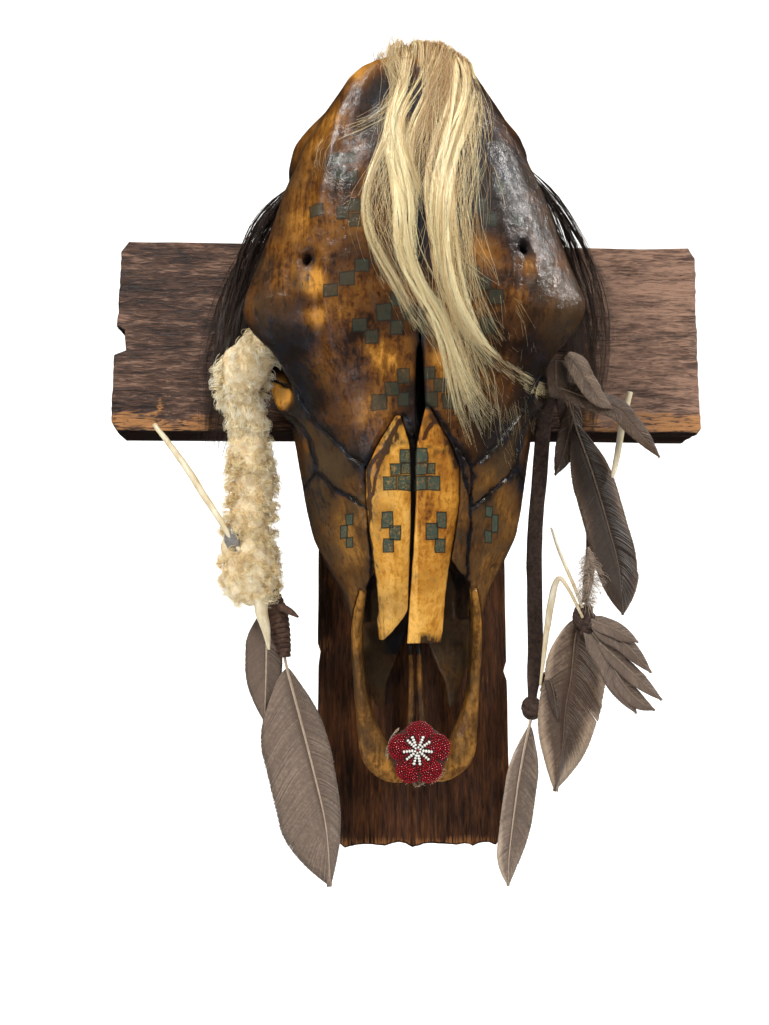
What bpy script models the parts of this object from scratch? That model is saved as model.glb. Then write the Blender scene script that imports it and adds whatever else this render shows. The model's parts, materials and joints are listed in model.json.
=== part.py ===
"""A polled steer's skull, stained and painted, hung on a cross of two rough boards.

Metres, +Z up, the wall is the plane Y = 0 and the viewer stands at -Y. The origin is the middle of
the crossbar's height on the wall. Most sizes below are in millimetres, and "depth" is the distance
from the wall towards the viewer, so a place is written (x, depth, z).
"""
import math
import random

import bmesh
import bpy
import numpy as np
from mathutils import Vector
from mathutils.bvhtree import BVHTree

MM = 0.001
GAP = 0.3
TRIM_GAP = 0.45
VANE_THICK = 0.62

# The cross: two pieces of 38 x 140 timber, the crossbar nailed over the upright.
TIMBER_THICK = 38.0
TIMBER_WIDE = 140.0
UPRIGHT_MIDDLE_X = 3.0
UPRIGHT_TOP_Z = 112.0
UPRIGHT_BOTTOM_Z = -368.5
CROSSBAR_HALF_LENGTH = 213.0
BOARD_EDGE_ROUND = 1.6
CHISEL_CUTS = ((14, 2.6), (29, 1.8), (20, 3.2), (32, 2.2), (12, 1.4), (17, 2.4))

# The skull hangs a little askew, and its own frame is symmetric about x = 0.
SKULL_TILT_DEGREES = -1.15
SKULL_SHIFT_X = -1.6
SKULL_VOXEL = 2.0
SKULL_TRIANGLES = 3560

# Right half of the skull's outline at each height, front to back: middle of the forehead,
# forehead shoulder, frontal edge, under the edge, wall of the braincase or cheek, lower flare,
# outer base, middle of the base. Each pair is (half-width, depth).
SKULL_STATIONS = (
    (143, 205, (12, 204), (21, 198), (23, 192), (20, 187), (16, 184), (9, 183), 183),
    (137, 206, (22, 205), (35, 197), (37, 187), (34, 177), (28, 169), (14, 165), 164),
    (127, 206, (28, 205), (43, 195), (48, 181), (53, 161), (50, 142), (28, 135), 134),
    (114, 206, (33, 204), (52, 191), (60, 175), (75, 150), (72, 124), (44, 111), 108),
    (99, 206, (38, 203), (62, 186), (71, 167), (82, 135), (80, 106), (50, 92), 92),
    (84, 206, (42, 203), (73, 178), (75, 166), (72, 140), (80, 108), (52, 88), 88),
    (66, 205, (46, 201), (84, 170), (81, 160), (56, 138), (66, 104), (48, 86), 87),
    (40, 203, (52, 197), (93, 165), (89, 155), (50, 136), (58, 102), (44, 86), 88),
    (15, 199, (58, 191), (104, 159), (99, 149), (51, 134), (54, 106), (42, 88), 90),
    (-5, 194, (60, 187), (110, 159), (104, 150), (54, 136), (50, 108), (40, 90), 91),
    (-20, 190, (60, 182), (104, 157), (98, 147), (58, 134), (50, 108), (40, 88), 90),
    (-36, 184, (56, 177), (93, 149), (90, 136), (72, 122), (56, 104), (42, 86), 88),
    (-50, 181, (51, 171), (80, 144), (83, 126), (84, 110), (68, 92), (46, 84), 86),
    (-66, 177, (45, 167), (72, 141), (81, 121), (83, 104), (70, 84), (48, 80), 82),
    (-80, 174, (41, 164), (67, 139), (79, 116), (80, 100), (66, 76), (46, 62), 70),
    (-105, 167, (37, 158), (60, 134), (76, 110), (75, 93), (64, 72), (43, 58), 66),
    (-131, 157, (33, 148), (54, 126), (72, 104), (70, 90), (61, 70), (41, 57), 64),
    (-158, 146, (30, 138), (48, 118), (66, 97), (64, 84), (57, 66), (39, 54), 60),
    (-184, 134, (27, 128), (41, 111), (52, 93), (50, 80), (45, 64), (33, 53), 58),
    (-206, 124, (25, 119), (36, 104), (45, 90), (44, 76), (38, 62), (28, 53), 57),
)

# Depth where the frontal bones end and the braincase begins, at z = 0 and its change with z.
FRONTAL_CUT_DEPTH = 147.0
FRONTAL_CUT_SLOPE = 0.08

# Sutures on the right side, as (half-width, z).
FRONTAL_OUTLINE = (
    (0.3, 165), (140, 165), (140, -38), (84, -47), (69, -73), (46, -101), (33, -111), (22, -97),
    (10, -79), (2.2, -94), (2.4, -62), (0.3, -30),
)
LACRIMAL_OUTLINE = (
    (95, -46), (84, -47), (69, -73), (46, -101), (33, -111), (33, -136), (53, -121), (67, -107),
    (71, -85), (79, -73), (98, -58),
)
LACRIMAL_BACK = 112.0
ZYGOMATIC_OUTLINE = (
    (62, 30), (140, 22), (140, -140), (84, -120), (67, -107), (71, -85), (79, -73), (66, -48),
)
ZYGOMATIC_BACK = 60.0
MAXILLA_TOP_Z = -62.0

# The open gap that runs up between the frontals from the nasals: (x, z) outline and its floor.
SLOT_OUTLINE = ((0.8, -24), (3.1, -56), (3.4, -97), (-3.4, -97), (-3.1, -56), (-0.8, -24))
SLOT_FLOOR = 151.0

# Nasal bones: along each, (z, inner edge, outer edge, depth of the crest, drop at the outer edge).
NASAL_SHIFT_X = -4.6
NASAL_LEAN_Z = -140.0
NASAL_LEANS = {-1: (0.04, -0.035), 1: (-0.07, -0.07)}
NASAL_TOP_RISE_RIGHT = 5.0
NASAL_STATIONS = (
    (-79, 8, 11, 172, 1), (-88, 5, 17, 170, 2), (-97, 2.5, 23, 168, 3.5), (-111, 1.6, 30, 163.5, 6),
    (-131, 1.5, 30, 157, 8), (-155, 1.5, 28, 147.5, 9), (-180, 1.5, 25.5, 138, 10),
    (-200, 1.5, 25, 130, 10),
)
NASAL_THICK = 5.5
NASAL_BED_GAP = 0.6
NASAL_BED_INNER = 5.0
NASAL_BED_REACH = 4.0
NASAL_TIP_RIGHT = ((-214, 1.5, 25, 125, 9), (-222, 1.5, 24.5, 121.5, 9))
NASAL_TIP_LEFT = ((-205, 4, 26, 128, 9), (-214, 11, 26, 124, 7), (-219.5, 17, 25.8, 122, 4))
NASAL_INNER_DROP = 4.2

# Incisive bones: centre of the blade, its width and its depth, along its length.
INCISIVE_STATIONS = (
    (37, 112, -186, 5, 8), (40, 98, -199, 7, 16), (41.5, 84, -214, 9, 26), (41, 76, -234, 9, 26),
    (39.5, 72, -254, 10, 22), (37, 69, -272, 13, 18), (33.5, 67, -286, 18, 15),
    (30, 66, -298, 22, 13), (23, 65, -307, 21, 11), (14, 64, -312, 17, 9), (7, 64, -313, 11, 7),
)
PALATINE_ROD = (
    (6, 66, -303, 9, 7), (4.4, 65, -284, 7.6, 8), (3.4, 63, -266, 6, 7), (2.9, 61, -245, 5, 6),
    (2.9, 59, -222, 4.8, 6), (3.1, 58, -208, 4.8, 6),
)
PALATE_SHELF = (
    (3, -190), (44, -190), (43, -214), (38, -240), (30, -266), (23, -272), (20, -252), (15, -238),
    (8, -222), (3, -214),
)
PALATE_SHELF_DEPTHS = (54.0, 60.0)

# Cheek teeth, from the muzzle back: length along the jaw, breadth.
CHEEK_TEETH = ((14, 13), (17, 16), (18, 18), (22, 20), (24, 21), (23, 19))
TOOTH_ROW_START_Z = -190.0
TOOTH_ROW_X = (37.0, 54.0)
TOOTH_CROWN_DEPTHS = (39.5, 66.0)

# Places on the skull, in its own frame.
ORBIT_CENTRE = (93, 132, -20)
ORBIT_RADII = (34, 21, 34)
SUPRAORBITAL_HOLES = {-1: (69.3, 195, 19.4), 1: (66.8, 195, 24.1)}
SUPRAORBITAL_RADIUS = 3.6
INFRAORBITAL_HOLE = (54, 104, -181)

# The rosette of beads sewn on leather.
ROSETTE_CENTRE = (3.3, 70.5, -295.6)
ROSETTE_RADIUS = 22.0
ROSETTE_PETALS = 5
ROSETTE_CORNERS = 25
ROSETTE_THICK = 9.0
ROSETTE_TILT_DEGREES = 8.0

# Trimmings: each strand is (x, depth, z, width, thickness) along its length.
FLEECE_ROUTE = (
    (-99, 130, -12, 14, 12), (-106, 124, -24, 36, 30), (-117, 118, -38, 42, 34),
    (-118, 108, -56, 30, 28), (-113, 103, -78, 26, 26), (-113, 99, -96, 34, 30),
    (-112, 95, -122, 38, 34), (-114, 93, -148, 42, 36), (-113, 92, -170, 48, 38),
    (-111, 90, -187, 40, 30), (-110, 90, -194, 22, 16),
)
HAIR_LEFT_ROUTE = (
    (-76, 132, 92, 10, 8), (-93, 120, 76, 16, 10), (-106, 106, 55, 20, 9), (-117, 92, 34, 20, 8),
    (-122, 87, 12, 22, 7), (-126, 83, -14, 22, 6), (-130, 81, -48, 18, 5), (-136, 80.5, -76, 12, 4),
    (-140, 80, -98, 5, 3),
)
HAIR_RIGHT_ROUTE = (
    (74, 132, 102, 10, 8), (91, 119, 86, 16, 10), (104, 106, 64, 20, 9), (115, 94, 44, 20, 8),
    (124, 88, 18, 22, 7), (127, 85, -4, 22, 6), (129, 82, -30, 19, 5), (130, 80.5, -54, 13, 4),
    (130, 80, -74, 5, 3),
)
FLEECE_CORE = 0.7
FLEECE_CLUMP = 12.5
FLEECE_ROWS = 11
FLEECE_TRIANGLES = 1750
FLEECE_TURNS = (-75, 15, 100, 195)
FLEECE_TUFTS = (
    ((-122, 120, -30), (-131, 118, -30), (-141, 114, -35)),
    ((-120, 120, -22), (-127, 120, -20), (-134, 117, -23)),
    ((-120, 116, -42), (-128, 114, -44), (-135, 110, -50)),
    ((-104, 126, -20), (-106, 127, -12), (-109, 124, -6)),
    ((-102, 110, -84), (-95, 110, -86), (-89, 108, -90)),
)
HAIR_LOCKS = 6
HAIR_LOCK_WIDTH = 7.0
HAIR_TIE_LEFT = (-76, 130, 92)
HAIR_TIE_RIGHT = (74, 130, 102)
HAIR_TIE_RADII = (8, 7, 9)
STICK_LEFT = ((-182, 86, -68, 3.4, 3), (-158, 93, -100, 5, 4.4), (-136, 102, -133, 4.6, 4),
              (-118, 106, -160, 3, 3))
QUILL_LEFT = ((-105, 97, -184, 10, 8), (-104, 97, -200, 9, 7), (-101, 96, -213, 6, 5),
              (-99, 95, -226, 1.6, 1.4))
WRAP_LEFT = ((-100, 88, -186, 14, 12), (-96, 86, -200, 19, 13), (-92, 85, -214, 15, 11),
             (-89, 83, -230, 9, 8))
STRAP_WIDTH = 12.0
STRAP_THICK = 2.4
STRAP_ROUTE = (
    (98, 106, -30), (98, 95, -46), (96, 84, -62), (95, 78.8, -80), (94, 73.5, -100),
    (92, 68.5, -126), (90, 66, -158), (89.5, 66, -195), (89, 66.5, -230), (86, 69, -258),
)
STRAP_KNOT = (85, 70, -268)
STRAP_KNOT_RADII = (8, 7, 9)
THONG_WIDTH = 8.0
THONG_THICK = 2.4
THONG_TOP = (104, 104, -36)
THONG_TOP_RADII = (9, 9, 12)
THONG_ROUTE = (
    (105, 97, -50), (110, 89, -64), (118, 83, -82), (125, 80.5, -108), (129, 79.5, -138),
    (127, 80.5, -168), (122, 83, -194),
)
THONG_KNOT = (121, 85, -206)
THONG_KNOT_RADII = (9, 8, 13)
FEATHER_BENT = ((91, 119, -45), (104, 121, -50), (121, 120, -56), (142, 114, -62),
                (152, 110, -71), (163, 106, -82), (174, 100, -93))
FEATHER_BENT_LOBE = ((104, 127, -27), (110, 127, -33), (116, 126, -44), (125, 123, -55),
                     (136, 118, -62))
FEATHER_BENT_FOLD = ((97, 123, -30), (97, 123, -43), (98, 122, -56))
FEATHER_SMALL_DARK = ((112, 96, -44), (115, 93, -59), (112, 91, -74), (108, 90, -89),
                      (102, 89, -104))
FEATHER_LONG = ((111, 96, -52), (117, 93, -71), (122, 92, -85), (130, 90, -108),
                (139, 88, -140), (146, 87, -170), (148, 86, -203))
STICK_RIGHT = ((157, 92, -44, 4, 4), (151, 91, -67, 5, 4.6), (145, 90, -97, 4, 3.6),
               (143, 89.5, -106, 2, 2))
FEATHER_BROAD = ((121, 82, -204), (116, 79, -217), (112, 77, -248), (108, 76, -268),
                 (105, 75, -297), (99, 74, -325))
FEATHER_SPLIT = ((120, 89, -204), (124, 89, -213), (136, 88, -230), (146, 87, -250),
                 (155, 86, -271))
FEATHER_SPLIT_LOBES = (
    ((122, 91, -205), (128, 91, -208), (141, 91, -213), (157, 90, -222)),
    ((124, 91, -209), (132, 91, -214), (149, 90, -224), (166, 88, -243)),
    ((130, 89, -222), (139, 89, -230), (155, 88, -245), (173, 87, -262)),
    ((140, 88, -240), (149, 87, -254), (158, 87, -263), (168, 86, -269)),
)
DOWN_RIGHT = ((124, 88, -156, 6, 5), (124, 92, -168, 20, 9), (122, 93, -182, 22, 10),
              (121, 92, -196, 14, 8))
QUILL_UPPER = ((99, 84, -141, 1.6, 1.4), (104, 86, -158, 2.4, 2.2), (112, 90, -180, 2.6, 2.4),
               (118, 92, -198, 2, 2))
QUILL_LOWER = ((118, 92, -205, 2, 2), (108, 92, -184, 2.6, 2.4), (102, 88, -178, 4, 3),
               (97, 82, -200, 5, 3.4), (90, 77, -252, 1.6, 1.4))
FEATHER_SLIM = ((91, 73, -256), (95, 76, -246), (99, 77, -254), (102, 77, -276))
FEATHER_BOTTOM = ((86, 72, -268), (83, 71, -280), (79, 69, -298), (75, 67, -320),
                  (71, 66, -346), (68, 64, -370), (67, 63, -391))
FEATHER_LEFT_FRONT = ((-90, 84, -222), (-88, 83, -236), (-80, 81, -266), (-68, 78, -312),
                      (-60, 75, -348), (-57, 74, -387))
FEATHER_LEFT_BACK = ((-104, 82, -189), (-102, 80, -209), (-102, 77, -233), (-103, 74, -276))
BLOND_TIE = (5, 179, 132)
BLOND_TIE_RADII = (15, 7, 9)
BLOND_CREST = ((191, 145), (206, 148.5))
# Each guide: how many locks, the middle and width of its share of the crest, then its way down the
# forehead as (x, z, width of the bundle).
BLOND_GUIDES = (
    (4, -4, 22, ((-8, 130, 24), (-15, 100, 24), (-20, 76, 21), (-17, 44, 19), (-8, 14, 18),
                 (5, -15, 16), (24, -40, 14), (46, -54, 16), (74, -60, 18))),
    (3, 19, 20, ((19, 126, 19), (15, 90, 17), (11, 57, 14), (10, 23, 14), (14, -8, 13),
                 (22, -43, 14), (30, -72, 18), (42, -92, 24))),
    (2, -13, 6, ((-17, 122, 8), (-22, 84, 7), (-34, 54, 7), (-37, 32, 8), (-29, 14, 9),
                 (-18, -4, 10))),
)
BLOND_LOCK_WIDTH = 8.0
BLOND_LOCK_THICK = 2.6
BLOND_LIFT = 0.9

BONE = ("bone", (0.42, 0.20, 0.05), 0.30)
BONE_DARK = ("bone_dark", (0.10, 0.06, 0.04), 0.35)
NASAL_BONE = ("bone_nasal", (0.72, 0.38, 0.09), 0.32)
WOOD = ("stained_wood", (0.13, 0.045, 0.025), 0.7)
BLOND = ("blond_hair", (0.72, 0.56, 0.30), 0.5)
HORSEHAIR = ("dark_hair", (0.025, 0.015, 0.012), 0.5)
FLEECE = ("fleece", (0.68, 0.52, 0.33), 0.95)
FEATHER = ("feather", (0.23, 0.16, 0.13), 0.7)
DOWN = ("down", (0.45, 0.37, 0.31), 0.9)
QUILL = ("pale_quill", (0.75, 0.68, 0.50), 0.5)
LEATHER = ("leather", (0.055, 0.03, 0.02), 0.75)
BEADS = ("beads", (0.28, 0.01, 0.02), 0.25)


def clear_scene():
    for obj in list(bpy.data.objects):
        bpy.data.objects.remove(obj, do_unlink=True)


def place(x, depth, z):
    """A place given in millimetres as a vector in metres."""
    return Vector((x * MM, -depth * MM, z * MM))


def material(look):
    name, colour, rough = look
    made = bpy.data.materials.new(name)
    made.use_nodes = True
    shader = made.node_tree.nodes["Principled BSDF"]
    shader.inputs["Base Color"].default_value = (*colour, 1.0)
    shader.inputs["Roughness"].default_value = rough
    shader.inputs["Metallic"].default_value = 0.0
    made.diffuse_color = (*colour, 1.0)
    return made


def mesh_object(name, bm, collection):
    bmesh.ops.recalc_face_normals(bm, faces=bm.faces)
    mesh = bpy.data.meshes.new(name)
    bm.to_mesh(mesh)
    bm.free()
    obj = bpy.data.objects.new(name, mesh)
    collection.objects.link(obj)
    return obj


def evaluated_mesh(obj):
    bpy.context.view_layer.update()
    graph = bpy.context.evaluated_depsgraph_get()
    return bpy.data.meshes.new_from_object(obj.evaluated_get(graph))


def apply_modifiers(obj):
    mesh = evaluated_mesh(obj)
    obj.modifiers.clear()
    obj.data = mesh


def remove(*objects):
    for obj in objects:
        bpy.data.objects.remove(obj, do_unlink=True)


def copy_of(obj, name):
    twin = obj.copy()
    twin.data = obj.data.copy()
    twin.name = name
    CUTTERS.objects.link(twin)
    return twin


def grown(obj, by):
    """A copy whose surface stands out by a few tenths of a millimetre, used to cut clearances."""
    twin = copy_of(obj, obj.name + "_grown")
    push = twin.modifiers.new("push", "DISPLACE")
    push.strength = by * MM
    push.mid_level = 0.0
    apply_modifiers(twin)
    return twin


def is_closed(mesh):
    """Whether every edge has two faces once near-coincident corners are merged."""
    bm = bmesh.new()
    bm.from_mesh(mesh)
    bmesh.ops.remove_doubles(bm, verts=bm.verts, dist=0.000002)
    closed = len(bm.faces) > 0 and all(len(edge.link_faces) == 2 for edge in bm.edges)
    bm.free()
    return closed


def boolean(obj, operand, operation):
    """A Boolean by the exact solver, or by the manifold one where that leaves open edges."""
    source = obj.data
    for solver in ("EXACT", "MANIFOLD"):
        obj.data = source.copy()
        cut = obj.modifiers.new("cut", "BOOLEAN")
        cut.operation = operation
        cut.solver = solver
        cut.object = operand
        apply_modifiers(obj)
        if is_closed(obj.data):
            break


def fuse(name, pieces, collection):
    """One closed body from overlapping closed pieces."""
    group = bpy.data.collections.new(name + "_pieces")
    for piece in pieces[1:]:
        for owner in list(piece.users_collection):
            owner.objects.unlink(piece)
        group.objects.link(piece)
    bpy.context.scene.collection.children.link(group)
    body = pieces[0]
    body.name = name
    source = body.data
    for solver in ("EXACT", "MANIFOLD"):
        body.data = source.copy()
        join = body.modifiers.new("join", "BOOLEAN")
        join.operation = "UNION"
        join.solver = solver
        join.operand_type = "COLLECTION"
        join.collection = group
        apply_modifiers(body)
        if is_closed(body.data):
            break
    remove(*list(group.objects))
    bpy.data.collections.remove(group)
    for owner in list(body.users_collection):
        owner.objects.unlink(body)
    collection.objects.link(body)
    keep_largest(body)
    return body


def keep_largest(obj):
    """Drops every closed surface of the mesh but the largest."""
    bm = bmesh.new()
    bm.from_mesh(obj.data)
    bmesh.ops.remove_doubles(bm, verts=bm.verts, dist=0.000002)
    bmesh.ops.dissolve_degenerate(bm, edges=bm.edges, dist=0.000002)
    unseen = set(bm.faces)
    islands = []
    while unseen:
        todo = [unseen.pop()]
        island = set(todo)
        while todo:
            for edge in todo.pop().edges:
                for face in edge.link_faces:
                    if face in unseen:
                        unseen.discard(face)
                        island.add(face)
                        todo.append(face)
        islands.append(island)
    islands.sort(key=lambda island: sum(face.calc_area() for face in island))
    scraps = [face for island in islands[:-1] for face in island]
    bmesh.ops.delete(bm, geom=scraps, context="FACES")
    bm.to_mesh(obj.data)
    bm.free()


def cut_clear(obj, *solids, gap=GAP):
    """Cuts an object back from each solid, so that the two meet face to face across the gap."""
    for solid in solids:
        cutter = grown(solid, gap)
        boolean(obj, cutter, "DIFFERENCE")
        remove(cutter)
    keep_largest(obj)


def spline(rows, steps, closed=False):
    """Points of a Catmull-Rom curve through rows of numbers, each row a place on the curve."""
    rows = np.asarray(rows, dtype=float)
    count = len(rows)
    spans = count if closed else count - 1
    out = []
    for i in range(spans):
        if closed:
            a, b, c, d = (rows[(i + k) % count] for k in (-1, 0, 1, 2))
        else:
            a, b = rows[max(i - 1, 0)], rows[i]
            c, d = rows[i + 1], rows[min(i + 2, count - 1)]
        for k in range(steps):
            t = k / steps
            out.append(0.5 * (2 * b + (c - a) * t + (2 * a - 5 * b + 4 * c - d) * t * t
                              + (3 * b - a - 3 * c + d) * t ** 3))
    if not closed:
        out.append(rows[-1])
    return np.array(out)


def loft(rings):
    """A closed bmesh through rings with the same number of places."""
    bm = bmesh.new()
    made = [[bm.verts.new(point) for point in ring] for ring in rings]
    size = len(rings[0])
    for low, high in zip(made, made[1:]):
        for k in range(size):
            n = (k + 1) % size
            bm.faces.new((low[k], low[n], high[n], high[k]))
    bm.faces.new(made[0][::-1])
    bm.faces.new(made[-1])
    return bm


def strand(places, facing, sides=6, steps=3):
    """A lofted strand; each place is (x, depth, z, width, thickness), flat side towards facing.

    With no facing, the flat side starts level with x and turns with the strand.
    """
    rows = spline(places, steps)
    centres = [place(*row[:3]) for row in rows]
    across = Vector((-1, 0, 0))
    rings = []
    for i, row in enumerate(rows):
        along = (centres[min(i + 1, len(rows) - 1)] - centres[max(i - 1, 0)]).normalized()
        if facing is None:
            across = (across - along * across.dot(along)).normalized()
        else:
            across = along.cross(Vector(facing)).normalized()
        out = across.cross(along)
        ring = []
        for k in range(sides):
            turn = 2 * math.pi * k / sides
            ring.append(centres[i] + across * (math.cos(turn) * row[3] * MM / 2)
                        + out * (math.sin(turn) * row[4] * MM / 2))
        rings.append(ring)
    return loft(rings)


def prism(outline, depth_low, depth_high, grow=0.0, slope=0.0, mirror=1):
    """A block over an outline of (x, z) corners, between two depths."""
    corners = [Vector((mirror * x, z)) for x, z in outline]
    area = sum(a.x * b.y - b.x * a.y for a, b in zip(corners, corners[1:] + corners[:1]))
    side = 1 if area > 0 else -1
    moved = []
    for i, here in enumerate(corners):
        before = (here - corners[i - 1]).normalized()
        after = (corners[(i + 1) % len(corners)] - here).normalized()
        normal = (Vector((before.y, -before.x)) + Vector((after.y, -after.x))) * side
        normal /= max(0.3, normal.length_squared / 2)
        moved.append(here + normal * grow)
    rings = []
    for depth in (depth_low - grow, depth_high + grow):
        rings.append([place(p.x, depth + (slope * p.y if depth < depth_high else 0), p.y)
                      for p in moved])
    return loft(rings)


def ball(centre, radii, segments=20):
    bm = bmesh.new()
    rings = math.ceil(segments / 2)
    bmesh.ops.create_uvsphere(bm, u_segments=segments, v_segments=rings, radius=MM)
    bmesh.ops.scale(bm, verts=bm.verts, vec=Vector(radii[i] for i in (0, 1, 2)))
    bmesh.ops.translate(bm, verts=bm.verts, vec=place(*centre))
    return bm


def join_loose(name, parts, collection):
    """Puts several closed shapes in one mesh, for a voxel remesh to fuse."""
    whole = bmesh.new()
    for part in parts:
        bmesh.ops.recalc_face_normals(part, faces=part.faces)
        mesh = bpy.data.meshes.new("part")
        part.to_mesh(mesh)
        part.free()
        whole.from_mesh(mesh)
        bpy.data.meshes.remove(mesh)
    mesh = bpy.data.meshes.new(name)
    whole.to_mesh(mesh)
    whole.free()
    obj = bpy.data.objects.new(name, mesh)
    collection.objects.link(obj)
    return obj


def remesh(obj, voxel, rounds):
    voxels = obj.modifiers.new("voxels", "REMESH")
    voxels.mode = "VOXEL"
    voxels.voxel_size = voxel * MM
    soften = obj.modifiers.new("soften", "SMOOTH")
    soften.factor = 0.5
    soften.iterations = rounds
    apply_modifiers(obj)


def decimate(obj, triangles):
    mesh = obj.data
    mesh.calc_loop_triangles()
    fewer = obj.modifiers.new("fewer", "DECIMATE")
    fewer.ratio = min(1.0, triangles / len(mesh.loop_triangles))
    apply_modifiers(obj)


def mirrored(x_side, centre):
    return (x_side * centre[0], *centre[1:])


def skull_rings():
    """Outlines of the whole skull from the poll to the muzzle."""
    rows = []
    for station in SKULL_STATIONS:
        z, front, *sides, base = station
        row = [z, 0, front]
        for x, depth in sides:
            row += [x, depth]
        row += [0, base]
        rows.append(row)
    rings = []
    for row in spline(rows, 3):
        half = row[1:].reshape(-1, 2)
        ring = np.vstack([half, half[-2:0:-1] * (-1, 1)])
        ring = spline(ring, 4, closed=True)
        rings.append([place(x, depth, row[0]) for x, depth in ring])
    return rings


def cranial_additions(side):
    """Arches, rims, condyles and teeth of one side, to be fused with the skull's outline."""
    s = side
    parts = []
    arch = ((86, 110, -56, 16, 20), (96, 106, -30, 15, 10), (100, 101, -8, 14, 9),
            (101, 98, 14, 14, 9), (96, 97, 34, 15, 12), (86, 99, 52, 18, 16),
            (70, 104, 66, 20, 18))
    rim = ((104, 156, -14, 12, 10), (105, 152, 6, 13, 10), (102, 143, 19, 14, 9),
           (100, 129, 23, 15, 8), (100, 114, 17, 14, 8), (100, 103, 4, 12, 9))
    low_rim = ((97, 106, -26, 13, 9), (91, 108, -50, 14, 10), (84, 115, -64, 14, 11),
               (78, 127, -64, 14, 11), (76, 140, -54, 12, 10), (85, 149, -38, 11, 10),
               (97, 156, -22, 11, 10))
    for path in (arch, rim, low_rim):
        parts.append(strand([mirrored(s, row) for row in path], (s, -0.3, 0), sides=10))
    crest = ((82, 105, -62, 14, 8), (77, 103, -92, 10, 8), (72, 99, -122, 9, 9),
             (66, 96, -148, 10, 10), (57, 95, -168, 7, 7))
    parts.append(strand([mirrored(s, row) for row in crest], (s, 0, 0), sides=8))
    parts.append(ball((s * 26, 92, 101), (20, 15, 19)))
    parts.append(ball((s * 50, 96, 92), (22, 14, 16)))
    parts.append(ball((s * 30, 84, 52), (11, 12, 14)))
    parts.append(ball((s * 66, 97, 52), (18, 12, 14)))
    process = ((56, 92, 90, 14, 12), (58, 78, 88, 11, 10), (57, 64, 84, 8, 7), (54, 54, 80, 4, 4))
    parts.append(strand([mirrored(s, row) for row in process], (s, 0, 0.3), sides=8))
    hamulus = ((34, 92, -16, 10, 14), (32, 84, -32, 8, 12), (30, 80, -50, 6, 8))
    parts.append(strand([mirrored(s, row) for row in hamulus], (s, 0, 0), sides=8))
    z = TOOTH_ROW_START_Z
    row_length = sum(length for length, _ in CHEEK_TEETH)
    for length, breadth in CHEEK_TEETH:
        along = (z + length / 2 - TOOTH_ROW_START_Z) / row_length
        x = TOOTH_ROW_X[0] + (TOOTH_ROW_X[1] - TOOTH_ROW_X[0]) * math.sin(along * math.pi / 2)
        low, high = TOOTH_CROWN_DEPTHS
        crown = [(x, low, z + length / 2, breadth * 0.80, length * 0.86),
                 (x, low + 5, z + length / 2, breadth, length * 0.97),
                 (x - 1, high + 8, z + length / 2, breadth * 0.9, length * 0.97)]
        parts.append(strand([mirrored(s, row) for row in crown], (0, 0, 1), sides=8, steps=2))
        z += length
    return parts


def skull_hollows(side):
    """Orbit, foramina and groove of one side, to be cut out of the fused skull."""
    s = side
    hollows = [ball(mirrored(s, ORBIT_CENTRE), ORBIT_RADII)]
    x, depth, z = SUPRAORBITAL_HOLES[s]
    r = 2 * SUPRAORBITAL_RADIUS
    hole = ((x, depth + 12, z + 2, r, r), (x, depth - 8, z, r, r), (x - 6, depth - 26, z - 8, r, r))
    hollows.append(strand([mirrored(s, row) for row in hole], (0, 0, 1), sides=8))
    x, depth, z = INFRAORBITAL_HOLE
    hole = ((x + 1, depth + 4, z - 12, 11, 6), (x, depth, z, 10, 7), (x - 4, depth - 1, z + 14, 6, 6))
    hollows.append(strand([mirrored(s, row) for row in hole], (s, -0.5, 0), sides=8))
    return hollows


def nasal_cavity():
    """The airway, open at the front of the muzzle and closed off some way in."""
    stations = ((-150, 4, 128, 12, 112, 5, 96), (-158, 14, 131, 27, 110, 16, 80),
                (-172, 20, 140, 34, 100, 26, 70), (-184, 26, 170, 38, 96, 30, 66),
                (-200, 27, 170, 38, 92, 30, 63), (-230, 27, 170, 38, 88, 30, 63))
    rings = []
    for z, x_top, top, x_mid, middle, x_low, low in stations:
        half = ((x_top, top), (x_mid, middle), (x_low, low))
        ring = [(x, d) for x, d in half] + [(-x, d) for x, d in reversed(half)]
        rings.append([place(x, depth, z) for x, depth in ring])
    return loft(rings)


def make_skull():
    """The skull in one piece: fused, softened and thinned to few triangles."""
    parts = [loft(skull_rings())]
    for side in (1, -1):
        parts += cranial_additions(side)
        parts.append(prism(PALATE_SHELF, *PALATE_SHELF_DEPTHS, mirror=side))
    skull = join_loose("skull", parts, CUTTERS)
    remesh(skull, SKULL_VOXEL, 2)
    hollows = [nasal_cavity(), prism(SLOT_OUTLINE, SLOT_FLOOR, 260)]
    for side in (1, -1):
        hollows += skull_hollows(side)
    for number, hollow in enumerate(hollows):
        cutter = mesh_object("hollow_%d" % number, hollow, CUTTERS)
        boolean(skull, cutter, "DIFFERENCE")
        remove(cutter)
    remesh(skull, SKULL_VOXEL, 5)
    keep_largest(skull)
    decimate(skull, SKULL_TRIANGLES)
    skull.parent = SKULL_AXIS
    return skull


def take(source, name, outline, low, high, slope=0.0, side=1):
    """Cuts a bone out of the skull along its sutures and leaves the rest in the source."""
    bone = copy_of(source, name)
    keep = mesh_object("keep", prism(outline, low, high, 0.0, slope, side), CUTTERS)
    keep.parent = SKULL_AXIS
    boolean(bone, keep, "INTERSECT")
    drop = mesh_object("drop", prism(outline, low, high, GAP, slope, side), CUTTERS)
    drop.parent = SKULL_AXIS
    boolean(source, drop, "DIFFERENCE")
    remove(keep, drop)
    keep_largest(bone)
    return bone


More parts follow.
